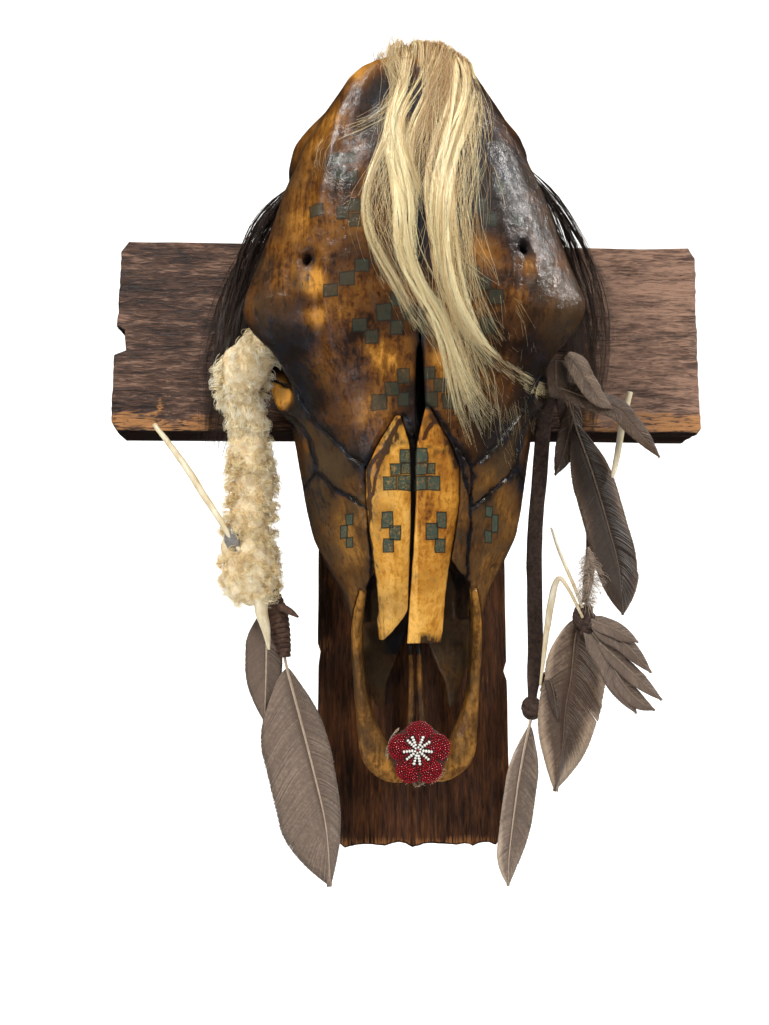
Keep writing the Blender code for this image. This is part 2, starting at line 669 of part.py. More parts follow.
def nasal_bone(name, side, tip, bed=0.0):
    """One nasal bone, a long arched blade free at its tip; with a bed, the room above it too."""
    rings = []
    for z, inner, outer, crest, drop in spline(NASAL_STATIONS + tip, 1):
        below = max(0.0, NASAL_LEAN_Z - z)
        inner += NASAL_LEANS[side][0] * below
        outer += NASAL_LEANS[side][1] * below
        if side > 0:
            z += NASAL_TOP_RISE_RIGHT * max(0.0, 1 - (NASAL_STATIONS[0][0] - z) / 30)
        top = []
        for k in range(5):
            t = k / 4
            x = inner + (outer - inner) * t
            fall = drop * (t ** 3) + min(NASAL_INNER_DROP, 0.4 * drop) * (1 - t) ** 3
            top.append((x, crest - fall))
        thick = min(NASAL_THICK, 2.2 + 0.35 * (outer - inner))
        under = [(x, depth - thick) for x, depth in reversed(top)]
        ring = [(x, depth + bed) for x, depth in top] + under
        if bed and inner < NASAL_BED_INNER:
            ring = [(x - NASAL_BED_REACH if abs(x - inner) < 0.01 else x, depth)
                    for x, depth in ring]
        rings.append([place(side * x + NASAL_SHIFT_X, depth, z) for x, depth in ring])
    bone = mesh_object(name, loft(rings), PARTS)
    bone.parent = SKULL_AXIS
    return bone


def incisive_bone(name, side):
    """One incisive bone: the blade along the muzzle and the thin rod beside the midline."""
    blade = strand([mirrored(side, row) for row in INCISIVE_STATIONS], (0, -1, 0), sides=8, steps=2)
    blade = mesh_object(name, blade, PARTS)
    rod = strand([mirrored(side, row) for row in PALATINE_ROD], (0, -1, 0), sides=5, steps=1)
    rod = mesh_object(name + "_rod", rod, PARTS)
    bridge = strand([mirrored(side, row) for row in (
        (4.5, 65, -300, 12, 7), (10, 65.5, -303, 16, 9), (20, 66, -306, 18, 11),
        (28, 66, -306, 12, 9))], (0, -1, 0), sides=6, steps=2)
    bridge = mesh_object(name + "_bridge", bridge, PARTS)
    bone = fuse(name, [blade, rod, bridge], PARTS)
    bone.parent = SKULL_AXIS
    return bone


def skull_bones():
    skull = make_skull()
    for board in (BOARDS["board_crossbar"], BOARDS["board_upright"]):
        cut_clear(skull, board)
    nasals = {
        "nasal_left": nasal_bone("nasal_left", -1, NASAL_TIP_LEFT),
        "nasal_right": nasal_bone("nasal_right", 1, NASAL_TIP_RIGHT),
    }
    incisives = {
        "incisive_left": incisive_bone("incisive_left", -1),
        "incisive_right": incisive_bone("incisive_right", 1),
    }
    cut_clear(skull, *incisives.values())
    for side, tip in ((-1, NASAL_TIP_LEFT), (1, NASAL_TIP_RIGHT)):
        bed = nasal_bone("nasal_bed", side, tip, bed=30.0)
        cut_clear(skull, bed, gap=NASAL_BED_GAP)
        remove(bed)
    cut_clear(skull, *nasals.values())
    bones = {"whole": copy_of(skull, "whole_skull")}
    for word, side in (("left", -1), ("right", 1)):
        bones["frontal_" + word] = take(skull, "frontal_" + word, FRONTAL_OUTLINE,
                                        FRONTAL_CUT_DEPTH, 260, FRONTAL_CUT_SLOPE, side)
        bones["lacrimal_" + word] = take(skull, "lacrimal_" + word, LACRIMAL_OUTLINE,
                                         LACRIMAL_BACK, 260, 0.0, side)
        bones["zygomatic_" + word] = take(skull, "zygomatic_" + word, ZYGOMATIC_OUTLINE,
                                          ZYGOMATIC_BACK, 260, 0.0, side)
    for word, side in (("left", -1), ("right", 1)):
        half = ((GAP / 2, MAXILLA_TOP_Z), (140, MAXILLA_TOP_Z), (140, -300), (GAP / 2, -300))
        bones["maxilla_" + word] = take(skull, "maxilla_" + word, half, 20, 260, 0.0, side)
    keep_largest(skull)
    skull.name = "cranium"
    bones["cranium"] = skull
    bones.update(nasals)
    bones.update(incisives)
    for name, bone in bones.items():
        if name == "whole":
            continue
        look = BONE
        if name.startswith("nasal"):
            look = NASAL_BONE
        if name == "cranium":
            look = BONE_DARK
        finish(bone, name, look, SKULL_AXIS)
    return bones


def finish(obj, name, look, parent):
    """Names a part, gives it its material and parent, and shades it."""
    for owner in list(obj.users_collection):
        owner.objects.unlink(obj)
    PARTS.objects.link(obj)
    obj.name = name
    obj.data.name = name
    obj.parent = parent
    obj.data.materials.clear()
    obj.data.materials.append(material(look))
    obj.data.shade_smooth()
    obj.data.set_sharp_from_angle(angle=math.radians(40))


def board(name, outline, back):
    """A board from its outline, with softly rounded edges."""
    curve = bpy.data.curves.new(name + "_outline", "CURVE")
    curve.dimensions = "2D"
    curve.fill_mode = "BOTH"
    curve.extrude = (TIMBER_THICK / 2 - BOARD_EDGE_ROUND) * MM
    curve.bevel_depth = BOARD_EDGE_ROUND * MM
    curve.bevel_resolution = 1
    curve.offset = -BOARD_EDGE_ROUND * MM
    line = curve.splines.new("POLY")
    line.points.add(len(outline) - 1)
    line.use_cyclic_u = True
    for point, (x, z) in zip(line.points, outline):
        point.co = (x * MM, z * MM, 0.0, 1.0)
    obj = bpy.data.objects.new(name, curve)
    CUTTERS.objects.link(obj)
    obj.rotation_euler = (math.radians(90), 0, 0)
    obj.location = place(0, back + TIMBER_THICK / 2, 0)
    mesh = evaluated_mesh(obj)
    mesh.transform(obj.matrix_world)
    bm = bmesh.new()
    bm.from_mesh(mesh)
    bmesh.ops.remove_doubles(bm, verts=bm.verts, dist=0.00002)
    remove(obj)
    made = mesh_object(name, bm, PARTS)
    finish(made, name, WOOD, CROSS_AXIS)
    return made


def crossbar_outline():
    half = TIMBER_WIDE / 2
    long = CROSSBAR_HALF_LENGTH
    return (
        (-long + 2, -half - 1), (long - 3, -half - 1), (long + 0.5, -half + 3),
        (long + 0.3, -half + 22), (long + 0.6, 20), (long + 1.5, half - 7), (long - 3, half + 1),
        (long - 40, half), (-long + 24, half + 1), (-long + 7, half + 1), (-long + 2, half - 7),
        (-long + 0.3, 7), (-long + 6, 2.5), (-long + 7, -11), (-long - 1.3, -14.5),
        (-long - 2, -half + 6),
    )


def upright_outline():
    half = TIMBER_WIDE / 2
    left = UPRIGHT_MIDDLE_X - half
    right = UPRIGHT_MIDDLE_X + half
    points = [(left, UPRIGHT_TOP_Z), (left, -222), (left + 1.8, -228), (left + 0.5, -238),
              (left - 1, -300), (left + 2, UPRIGHT_BOTTOM_Z + 5)]
    start = left + 6
    for number, (wide, deep) in enumerate(CHISEL_CUTS):
        for k in range(1, 4):
            rise = deep * math.sin(math.pi * k / 4)
            points.append((start + wide * k / 4, UPRIGHT_BOTTOM_Z + rise))
        start += wide
        points.append((start, UPRIGHT_BOTTOM_Z - 0.5 + number % 2))
    points += [(right + 1, -350), (right, -250), (right - 2, -243), (right, -236),
               (right, UPRIGHT_TOP_Z)]
    return points


def rosette():
    """Five beaded petals on a leather backing, sewn on at the tip of the muzzle."""
    rings = []
    lean = math.tan(math.radians(ROSETTE_TILT_DEGREES))
    for depth, scale in ((0, 1.0), (5, 1.04), (6.4, 0.99), (8.2, 0.86), (ROSETTE_THICK, 0.5)):
        ring = []
        for k in range(ROSETTE_CORNERS):
            turn = 2 * math.pi * k / ROSETTE_CORNERS
            lobe = 0.88 + 0.12 * abs(math.cos(turn * ROSETTE_PETALS / 2))
            across = ROSETTE_RADIUS * scale * lobe * math.sin(turn)
            up = ROSETTE_RADIUS * scale * lobe * math.cos(turn)
            x, back, z = ROSETTE_CENTRE
            ring.append(place(x + across, back + depth + up * lean, z + up))
        rings.append(ring)
    return mesh_object("rosette", loft(rings), PARTS)


class Surface:
    """The front of some solids, to lay hair on."""

    def __init__(self, solids):
        corners = []
        faces = []
        for solid in solids:
            start = len(corners)
            corners += [solid.matrix_world @ vert.co for vert in solid.data.vertices]
            faces += [[start + k for k in face.vertices] for face in solid.data.polygons]
        self.tree = BVHTree.FromPolygons(corners, faces)

    def depth(self, x, z, otherwise):
        """Depth in millimetres of the surface seen from the front at (x, z)."""
        hit = self.tree.ray_cast(place(x, 400, z), Vector((0, 1, 0)))[0]
        return otherwise if hit is None else max(-hit.y / MM, otherwise)


def feather(name, spine, left, right, facing=(0, -1, 0), start=0.12, shaft=2.6, camber=0.12,
            count=12, narrows=(0.6, 0.6), point=2.0):
    """A vane on its shaft; spine holds (x, depth, z) from the root to the tip, in millimetres.

    left and right are the vane's widths on either side of the shaft as seen from the front with
    the tip down, and each side narrows towards the tip from its own share of the length.
    """
    rows = spline(spine, 8)
    steps = np.linspace(0, len(rows) - 1, count)
    centres = [place(*row) for row in np.array(
        [[np.interp(t, range(len(rows)), rows[:, k]) for k in range(3)] for t in steps])]
    facing = Vector(facing).normalized()
    bm = bmesh.new()
    rings = []
    for i, centre in enumerate(centres):
        t = i / (count - 1)
        along = (centres[min(i + 1, count - 1)] - centres[max(i - 1, 0)]).normalized()
        across = facing.cross(along).normalized()
        out = along.cross(across)
        grow = min(1.0, max(0.0, (t - start) / 0.22)) ** 0.6
        core = shaft * (1 - 0.7 * t)
        reaches = []
        for side, bend in ((left, narrows[0]), (right, narrows[1])):
            close = 1 - max(0.0, (t - bend) / (1 - bend)) ** point
            reaches.append(max(core * 0.5, side * grow * close))
        edge = VANE_THICK if grow > 0 else core * 0.8
        ridge = max(edge, core)
        ring = []
        for reach, thick in ((-reaches[0], edge), (0, ridge), (reaches[1], edge)):
            drop = -camber * abs(reach)
            ring.append(centre + across * reach * MM + out * (drop + thick / 2) * MM)
        for reach, thick in ((reaches[1], edge), (0, ridge), (-reaches[0], edge)):
            drop = -camber * abs(reach)
            ring.append(centre + across * reach * MM + out * (drop - thick / 2) * MM)
        rings.append([bm.verts.new(corner) for corner in ring])
    for low, high in zip(rings, rings[1:]):
        for k in range(6):
            n = (k + 1) % 6
            if k < 2:
                triangles = ((low[k], low[n], high[n]), (low[k], high[n], high[k]))
            else:
                triangles = ((low[k], low[n], high[k]), (low[n], high[n], high[k]))
            for triangle in triangles:
                bm.faces.new(triangle)
    for ring in (rings[0], rings[-1]):
        for a, b, c in ((0, 1, 4), (0, 4, 5), (1, 2, 3), (1, 3, 4)):
            bm.faces.new((ring[a], ring[b], ring[c]))
    return mesh_object(name, bm, PARTS)


def hang(obj, name, look, *carriers):
    """Cuts a trimming clear of what carries it and finishes it."""
    cut_clear(obj, *carriers, gap=TRIM_GAP)
    finish(obj, name, look, CROSS_AXIS)
    TRIM[name] = obj
    return obj


def solid_strand(name, places, facing=(0, -1, 0), sides=8, steps=3):
    return mesh_object(name, strand(places, facing, sides, steps), PARTS)


def flat_route(route, width, thick):
    """A strap's route with its width and thickness at every place."""
    return tuple((*row, width, thick) for row in route)


def knot(name, centre, radii):
    return mesh_object(name, ball(centre, radii, 10), PARTS)


def fleece():
    """Rounded clumps set close along the strip of hide, with a few tufts that stand out."""
    draw = random.Random("fleece")
    core = [(x, depth, z, wide * FLEECE_CORE, thick * FLEECE_CORE)
            for x, depth, z, wide, thick in FLEECE_ROUTE]
    pieces = [solid_strand("fleece_core", core, sides=6, steps=1)]
    rows = spline(FLEECE_ROUTE, 6)
    for row in range(FLEECE_ROWS):
        at = (len(rows) - 1) * (row + 0.4) / FLEECE_ROWS
        x, depth, z, wide, thick = [np.interp(at, range(len(rows)), rows[:, k]) for k in range(5)]
        for turn in FLEECE_TURNS:
            angle = math.radians(turn + 38 * (row % 2) + draw.uniform(-12, 12))
            size = min(FLEECE_CLUMP, 0.34 * wide) * draw.uniform(0.8, 1.15)
            centre = (x + math.sin(angle) * (wide / 2 - size * 0.75),
                      depth + math.cos(angle) * (thick / 2 - size * 0.65),
                      z + draw.uniform(-5, 5))
            radii = (size, size * 0.9, size * draw.uniform(0.95, 1.15))
            pieces.append(mesh_object("clump", ball(centre, radii, 7), PARTS))
    for tuft in FLEECE_TUFTS:
        places = [(*spot, wide, wide * 0.8) for spot, wide in zip(tuft, (11, 8, 1.6))]
        pieces.append(solid_strand("tuft", places, (0.1, -1, 0.2), sides=5, steps=2))
    made = fuse("fleece", pieces, PARTS)
    decimate(made, FLEECE_TRIANGLES)
    return made


def dark_hair(name, side, route, tie):
    """A hank of long dark hair, tied behind the brow and hanging over the crossbar."""
    draw = random.Random(name)
    pieces = [knot(name + "_tie", tie, HAIR_TIE_RADII)]
    for number in range(HAIR_LOCKS):
        share = (number + 0.5) / HAIR_LOCKS
        drift = draw.uniform(-0.12, 0.12)
        length = len(route) - 1 - draw.uniform(0, 2.2) * (number % 3 > 0)
        places = []
        for k in range(len(route)):
            at = min(k, length)
            x, depth, z, wide, thick = [np.interp(at, range(len(route)), [row[n] for row in route])
                                        for n in range(5)]
            along = at / length
            out = (share - 0.42 + drift * along) * max(wide, 9) * (0.9 + 0.3 * along)
            near = ((number * 3) % HAIR_LOCKS) / HAIR_LOCKS
            lock = HAIR_LOCK_WIDTH * (0.55 + 0.45 * math.sin(math.pi * min(1, 0.25 + along)))
            if k == len(route) - 1:
                lock = 1.0
            places.append((x + side * out, depth + (near - 0.3) * 5 * (1 - 0.6 * along), z,
                           lock, max(0.8, lock * 0.42)))
            if at >= length:
                places[-1] = (*places[-1][:3], 1.0, 0.8)
                break
        places[0] = (*tie, 5.0, 4.0)
        del places[2]
        pieces.append(solid_strand("lock", places, sides=4, steps=1))
    return fuse(name, pieces, PARTS)


def left_trimmings():
    near = (BONES["whole"],)
    hang(fleece(), "fleece", FLEECE, *near, BOARDS["board_crossbar"])
    hair = dark_hair("hair_dark_left", -1, HAIR_LEFT_ROUTE, HAIR_TIE_LEFT)
    hang(hair, "hair_dark_left", HORSEHAIR, *near, BOARDS["board_crossbar"], TRIM["fleece"])
    carrier = TRIM["fleece"]
    hang(solid_strand("stick_left", STICK_LEFT, sides=6), "stick_left", QUILL, carrier)
    hang(solid_strand("quill_left", QUILL_LEFT, sides=6), "quill_left", QUILL, carrier)
    wrap = hang(solid_strand("wrap_left", WRAP_LEFT), "wrap_left", LEATHER, carrier,
                TRIM["quill_left"])
    front = feather("feather_left_front", FEATHER_LEFT_FRONT, 31, 15, (0.1, -1, 0.1), count=14,
                    narrows=(0.72, 0.5))
    hang(front, "feather_left_front", FEATHER, wrap)
    back = feather("feather_left_back", FEATHER_LEFT_BACK, 16, 11, (-0.2, -1, 0), count=10,
                   narrows=(0.55, 0.55))
    hang(back, "feather_left_back", FEATHER, carrier, wrap, front)


def straps():
    """The suede strap and thong on the right, and the knots that the feathers are tied in."""
    near = (BONES["whole"], BOARDS["board_crossbar"], TRIM["hair_dark_right"])
    top = hang(knot("thong_top", THONG_TOP, THONG_TOP_RADII), "thong_top", LEATHER, *near)
    strap_knot = hang(knot("strap_knot", STRAP_KNOT, STRAP_KNOT_RADII), "strap_knot", LEATHER)
    thong_knot = hang(knot("thong_knot", THONG_KNOT, THONG_KNOT_RADII), "thong_knot", LEATHER)
    strap = solid_strand("strap", flat_route(STRAP_ROUTE, STRAP_WIDTH, STRAP_THICK),
                         (0.25, -1, -0.2), sides=6, steps=2)
    hang(strap, "strap", LEATHER, *near, top, strap_knot)
    thong = solid_strand("thong_right", flat_route(THONG_ROUTE, THONG_WIDTH, THONG_THICK),
                         (0.2, -1, -0.2), sides=6, steps=2)
    hang(thong, "thong_right", LEATHER, *near, top, thong_knot, strap)


def right_trimmings():
    near = (BONES["whole"],)
    hair = dark_hair("hair_dark_right", 1, HAIR_RIGHT_ROUTE, HAIR_TIE_RIGHT)
    hang(hair, "hair_dark_right", HORSEHAIR, *near, BOARDS["board_crossbar"])
    straps()
    knots = (TRIM["thong_knot"], TRIM["thong_right"])
    top = (TRIM["thong_top"], TRIM["thong_right"], TRIM["strap"], *near, hair)
    bent = fuse("feather_bent", [
        feather("bent_main", FEATHER_BENT, 9, 10, (0.2, -1, 0.35), start=-0.2, count=10),
        feather("bent_lobe", FEATHER_BENT_LOBE, 9, 12, (0.3, -1, 0.5), start=-0.2, count=8),
        feather("bent_fold", FEATHER_BENT_FOLD, 7, 9, (0.3, -1, 0.2), start=-0.3, count=5,
                narrows=(0.9, 0.9))], PARTS)
    hang(bent, "feather_bent", FEATHER, *top)
    small = feather("feather_small_dark", FEATHER_SMALL_DARK, 8, 9, (0.3, -1, 0), count=8)
    hang(small, "feather_small_dark", FEATHER, *top, bent)
    long = feather("feather_long", FEATHER_LONG, 17, 17, (0.15, -1, 0.05), count=14,
                   narrows=(0.7, 0.7), point=2.6)
    hang(long, "feather_long", FEATHER, *top, bent, small)
    hang(solid_strand("stick_right", STICK_RIGHT, sides=6), "stick_right", QUILL, long, hair, bent,
         BOARDS["board_crossbar"])
    broad = feather("feather_broad", FEATHER_BROAD, 19, 27, (0.1, -1, 0), start=0.02, count=14,
                    narrows=(0.6, 0.5), point=1.8)
    hang(broad, "feather_broad", FEATHER, *knots, TRIM["strap"], TRIM["strap_knot"], long)
    lobes = [feather("split_main", FEATHER_SPLIT, 12, 8, (0.2, -1, 0.1), start=0.05, count=9)]
    for number, lobe in enumerate(FEATHER_SPLIT_LOBES):
        lobes.append(feather("split_%d" % number, lobe, 7, 6, (0.2, -1, 0.2), start=0.0, count=6,
                             narrows=(0.5, 0.5)))
    split = fuse("feather_split", lobes, PARTS)
    hang(split, "feather_split", FEATHER, *knots, broad, long)
    down = solid_strand("down_right", DOWN_RIGHT, (0.2, -1, 0), sides=6, steps=2)
    hang(down, "down_right", DOWN, *knots, long, broad, split)
    upper = solid_strand("quill_upper", QUILL_UPPER, sides=5, steps=2)
    hang(upper, "quill_upper", QUILL, *knots, down, long, TRIM["strap"])
    lower = solid_strand("quill_lower", QUILL_LOWER, sides=5, steps=2)
    hang(lower, "quill_lower", QUILL, *knots, down, TRIM["strap"], upper, broad)
    slim = feather("feather_slim", FEATHER_SLIM, 5, 4, (0.3, -1, 0), count=8)
    hang(slim, "feather_slim", FEATHER, TRIM["strap"], TRIM["strap_knot"], broad, lower)
    bottom = feather("feather_bottom", FEATHER_BOTTOM, 9, 14, (0.1, -1, 0.1), count=12,
                     narrows=(0.8, 0.6))
    hang(bottom, "feather_bottom", FEATHER, TRIM["strap"], TRIM["strap_knot"], broad, slim)


def blond_lock(name, number, guide, surface):
    """One lock of the forelock, from the tie behind the poll over the crest and down the face."""
    draw = random.Random(name)
    count, middle, share, way = guide
    across = (number + 0.5) / count - 0.5
    drift = draw.uniform(-0.3, 0.3)
    lift = BLOND_LIFT + BLOND_LOCK_THICK / 2 + 1.1 * ((number * 2) % count) / count
    thick = BLOND_LOCK_THICK
    wide = BLOND_LOCK_WIDTH * draw.uniform(0.85, 1.15)
    x = BLOND_TIE[0] + across * share * 0.5 + (middle - BLOND_TIE[0]) * 0.35
    places = [(x, BLOND_TIE[1], BLOND_TIE[2], wide * 0.7, thick)]
    for depth, z in BLOND_CREST:
        places.append((middle + across * share, depth + lift * 0.5, z + lift * 0.5, wide, thick))
    length = len(way) - 1 - draw.uniform(0, 1.6) * (number % 2)
    for k in range(len(way)):
        at = min(k, length)
        x, z, bundle = [np.interp(at, range(len(way)), [row[n] for row in way]) for n in range(3)]
        along = at / length
        x += (across + drift * math.sin(math.pi * along)) * bundle
        taper = 1 - 0.45 * along
        if at >= length:
            taper = 0.16
        depth = max(surface.depth(x + step * wide / 2, z, 60.0) for step in (-1, 0, 1))
        places.append((x, depth + lift, z, wide * taper, max(0.8, thick * taper)))
        if at >= length:
            break
    return solid_strand(name, places, None, sides=4, steps=1)


def blond_hair():
    """The forelock: flat tapered locks that bend and overlap over the forehead."""
    surface = Surface([BONES[name] for name in ("whole", "nasal_left", "nasal_right")])
    pieces = [knot("blond_tie", BLOND_TIE, BLOND_TIE_RADII)]
    for bundle, guide in enumerate(BLOND_GUIDES):
        for number in range(guide[0]):
            pieces.append(blond_lock("blond_%d_%d" % (bundle, number), number, guide, surface))
    hair = fuse("hair_blond", pieces, PARTS)
    hang(hair, "hair_blond", BLOND, BONES["whole"], BONES["nasal_left"], BONES["nasal_right"],
         TRIM["feather_bent"])


clear_scene()
PARTS = bpy.data.collections.new("steer_skull")
CUTTERS = bpy.data.collections.new("cutters")
for group in (PARTS, CUTTERS):
    bpy.context.scene.collection.children.link(group)
CROSS_AXIS = bpy.data.objects.new("cross_axis", None)
SKULL_AXIS = bpy.data.objects.new("skull_axis", None)
for axis in (CROSS_AXIS, SKULL_AXIS):
    PARTS.objects.link(axis)
SKULL_AXIS.location.x = SKULL_SHIFT_X * MM
SKULL_AXIS.rotation_euler.y = math.radians(SKULL_TILT_DEGREES)
SKULL_AXIS.parent = CROSS_AXIS

BOARDS = {
    "board_crossbar": board("board_crossbar", crossbar_outline(), TIMBER_THICK + GAP),
    "board_upright": board("board_upright", upright_outline(), 0.0),
}
BONES = skull_bones()
ROSETTE = rosette()
cut_clear(ROSETTE, BONES["incisive_left"], BONES["incisive_right"])
finish(ROSETTE, "rosette", BEADS, CROSS_AXIS)
TRIM = {}
left_trimmings()
right_trimmings()
blond_hair()
remove(BONES["whole"])
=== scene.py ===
"""The looks of a stained and painted steer skull on a cross of rough boards.

Metres, +Z up, the wall is the plane Y = 0 and the viewer stands at -Y. Places below are in
millimetres as (x, depth, z), where depth is the distance from the wall towards the viewer.
"""
import json
import math
import random

import bmesh
import bpy
import numpy as np
from mathutils import Matrix, Vector
from mathutils.bvhtree import BVHTree
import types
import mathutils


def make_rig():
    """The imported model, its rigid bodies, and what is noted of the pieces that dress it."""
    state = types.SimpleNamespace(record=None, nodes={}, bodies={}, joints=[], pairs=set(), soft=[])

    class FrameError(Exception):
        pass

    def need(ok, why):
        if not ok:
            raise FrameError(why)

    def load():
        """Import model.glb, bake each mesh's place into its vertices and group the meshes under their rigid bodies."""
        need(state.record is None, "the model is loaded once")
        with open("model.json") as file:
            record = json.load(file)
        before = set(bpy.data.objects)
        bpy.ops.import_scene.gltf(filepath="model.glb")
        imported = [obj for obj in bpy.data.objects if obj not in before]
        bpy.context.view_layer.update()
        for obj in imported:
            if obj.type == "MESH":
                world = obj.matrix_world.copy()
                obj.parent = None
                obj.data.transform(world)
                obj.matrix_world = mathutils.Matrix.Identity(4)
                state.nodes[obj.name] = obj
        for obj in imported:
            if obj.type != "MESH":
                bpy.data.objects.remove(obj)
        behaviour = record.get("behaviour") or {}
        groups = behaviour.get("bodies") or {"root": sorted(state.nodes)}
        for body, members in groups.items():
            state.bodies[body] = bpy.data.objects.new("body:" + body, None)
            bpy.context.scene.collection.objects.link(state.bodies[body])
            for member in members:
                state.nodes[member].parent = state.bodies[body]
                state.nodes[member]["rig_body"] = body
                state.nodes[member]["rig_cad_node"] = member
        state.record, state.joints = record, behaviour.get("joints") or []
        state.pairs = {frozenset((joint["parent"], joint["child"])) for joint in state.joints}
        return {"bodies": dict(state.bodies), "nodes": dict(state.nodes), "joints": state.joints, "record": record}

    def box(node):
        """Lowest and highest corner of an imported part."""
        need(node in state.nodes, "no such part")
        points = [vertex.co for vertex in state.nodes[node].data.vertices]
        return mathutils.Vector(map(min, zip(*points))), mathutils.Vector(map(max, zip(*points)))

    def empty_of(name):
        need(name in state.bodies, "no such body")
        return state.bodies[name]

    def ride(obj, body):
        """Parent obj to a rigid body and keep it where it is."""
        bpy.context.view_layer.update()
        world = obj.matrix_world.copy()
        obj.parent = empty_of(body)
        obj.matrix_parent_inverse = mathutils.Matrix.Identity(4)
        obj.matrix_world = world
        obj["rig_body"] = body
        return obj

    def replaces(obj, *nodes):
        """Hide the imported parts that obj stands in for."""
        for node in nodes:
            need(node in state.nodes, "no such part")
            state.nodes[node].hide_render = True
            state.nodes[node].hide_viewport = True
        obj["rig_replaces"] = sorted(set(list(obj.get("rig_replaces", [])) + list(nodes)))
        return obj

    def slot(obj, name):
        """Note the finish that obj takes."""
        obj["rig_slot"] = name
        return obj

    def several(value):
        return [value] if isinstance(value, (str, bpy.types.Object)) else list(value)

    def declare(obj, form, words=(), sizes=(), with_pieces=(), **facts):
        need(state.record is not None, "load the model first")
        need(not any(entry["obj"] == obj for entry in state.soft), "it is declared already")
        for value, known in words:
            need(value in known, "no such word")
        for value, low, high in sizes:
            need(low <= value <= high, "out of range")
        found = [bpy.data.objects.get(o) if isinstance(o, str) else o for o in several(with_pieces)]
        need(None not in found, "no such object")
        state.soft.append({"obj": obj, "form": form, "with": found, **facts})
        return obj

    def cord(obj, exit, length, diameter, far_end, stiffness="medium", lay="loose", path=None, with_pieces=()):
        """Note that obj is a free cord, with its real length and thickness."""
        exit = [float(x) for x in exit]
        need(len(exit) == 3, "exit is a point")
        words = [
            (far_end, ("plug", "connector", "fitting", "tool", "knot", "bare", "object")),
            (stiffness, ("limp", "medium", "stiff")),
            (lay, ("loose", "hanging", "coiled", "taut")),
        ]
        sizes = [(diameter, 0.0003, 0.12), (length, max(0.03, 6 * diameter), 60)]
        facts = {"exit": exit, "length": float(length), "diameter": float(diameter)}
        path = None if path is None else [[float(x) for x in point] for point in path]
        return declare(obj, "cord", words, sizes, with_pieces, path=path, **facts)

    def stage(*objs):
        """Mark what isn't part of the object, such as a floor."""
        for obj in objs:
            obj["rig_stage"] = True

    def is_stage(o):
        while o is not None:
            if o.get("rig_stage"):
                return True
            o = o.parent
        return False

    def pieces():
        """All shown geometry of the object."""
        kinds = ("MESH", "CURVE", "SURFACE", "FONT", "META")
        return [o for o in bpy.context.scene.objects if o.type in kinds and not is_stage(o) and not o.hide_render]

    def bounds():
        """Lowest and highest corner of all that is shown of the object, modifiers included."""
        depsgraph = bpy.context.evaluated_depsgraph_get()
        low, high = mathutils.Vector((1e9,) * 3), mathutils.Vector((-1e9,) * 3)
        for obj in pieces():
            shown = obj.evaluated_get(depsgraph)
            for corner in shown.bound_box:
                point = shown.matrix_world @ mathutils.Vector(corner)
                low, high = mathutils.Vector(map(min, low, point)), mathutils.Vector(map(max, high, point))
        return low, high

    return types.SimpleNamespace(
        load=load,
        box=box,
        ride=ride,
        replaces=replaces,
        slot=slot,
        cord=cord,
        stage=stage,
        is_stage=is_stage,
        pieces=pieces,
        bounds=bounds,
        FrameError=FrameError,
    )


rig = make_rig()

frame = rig.load()
CAD_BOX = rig.bounds()

MM = 0.001
UP = np.array((0, 0, 1.0))
SHARP_ANGLE = math.radians(50)
NODES = frame["nodes"]

# The camera, fitted to the photograph of 769 x 1025 pixels.
CAMERA_PLACE = (-0.04771, -0.78531, -0.21760)
CAMERA_RIGHT = (0.999197, -0.039895, -0.003737)
CAMERA_AHEAD = (0.040051, 0.991544, 0.123432)
CAMERA_FOCAL_PIXELS = 1000.0
PHOTO_HEIGHT_PIXELS = 1025.0
SENSOR = 36.0

# The skull hangs a little askew, and its own frame is symmetric about x = 0.
SKULL_FRAME = Matrix.Translation((-0.0016, 0, 0)) @ Matrix.Rotation(math.radians(-1.15), 4, "Y")
SKULL_NODES = ("cranium", "frontal_left", "frontal_right", "lacrimal_left", "lacrimal_right",
               "zygomatic_left", "zygomatic_right", "maxilla_left", "maxilla_right")

# Cords: the suede strap and thong that hang on the right, as in the part's source.
SUEDE_THICK = 2.4
STRIP_STEPS = 72
STRAP_WIDTH = 12.0
STRAP_ROUTE = (
    (98, 106, -30), (98, 95, -46), (96, 84, -62), (95, 78.8, -80), (94, 73.5, -100),
    (92, 68.5, -126), (90, 66, -158), (89.5, 66, -195), (89, 66.5, -230), (86, 69, -258),
)
STRAP_IN_KNOT = (85.2, 70, -264)
THONG_WIDTH = 8.0
THONG_ROUTE = (
    (105, 97, -50), (110, 89, -64), (118, 83, -82), (125, 80.5, -108), (129, 79.5, -138),
    (127, 80.5, -168), (122, 83, -194),
)

# The trimmings, as in the part's source. The rows of a route are (x, depth, z), with the width
# and the thickness after them where these change along it.
ROSETTE_CENTRE = (3.3, 70.5, -295.6)
ROSETTE_RADIUS = 22.0
ROSETTE_TILT_DEGREES = 8.0

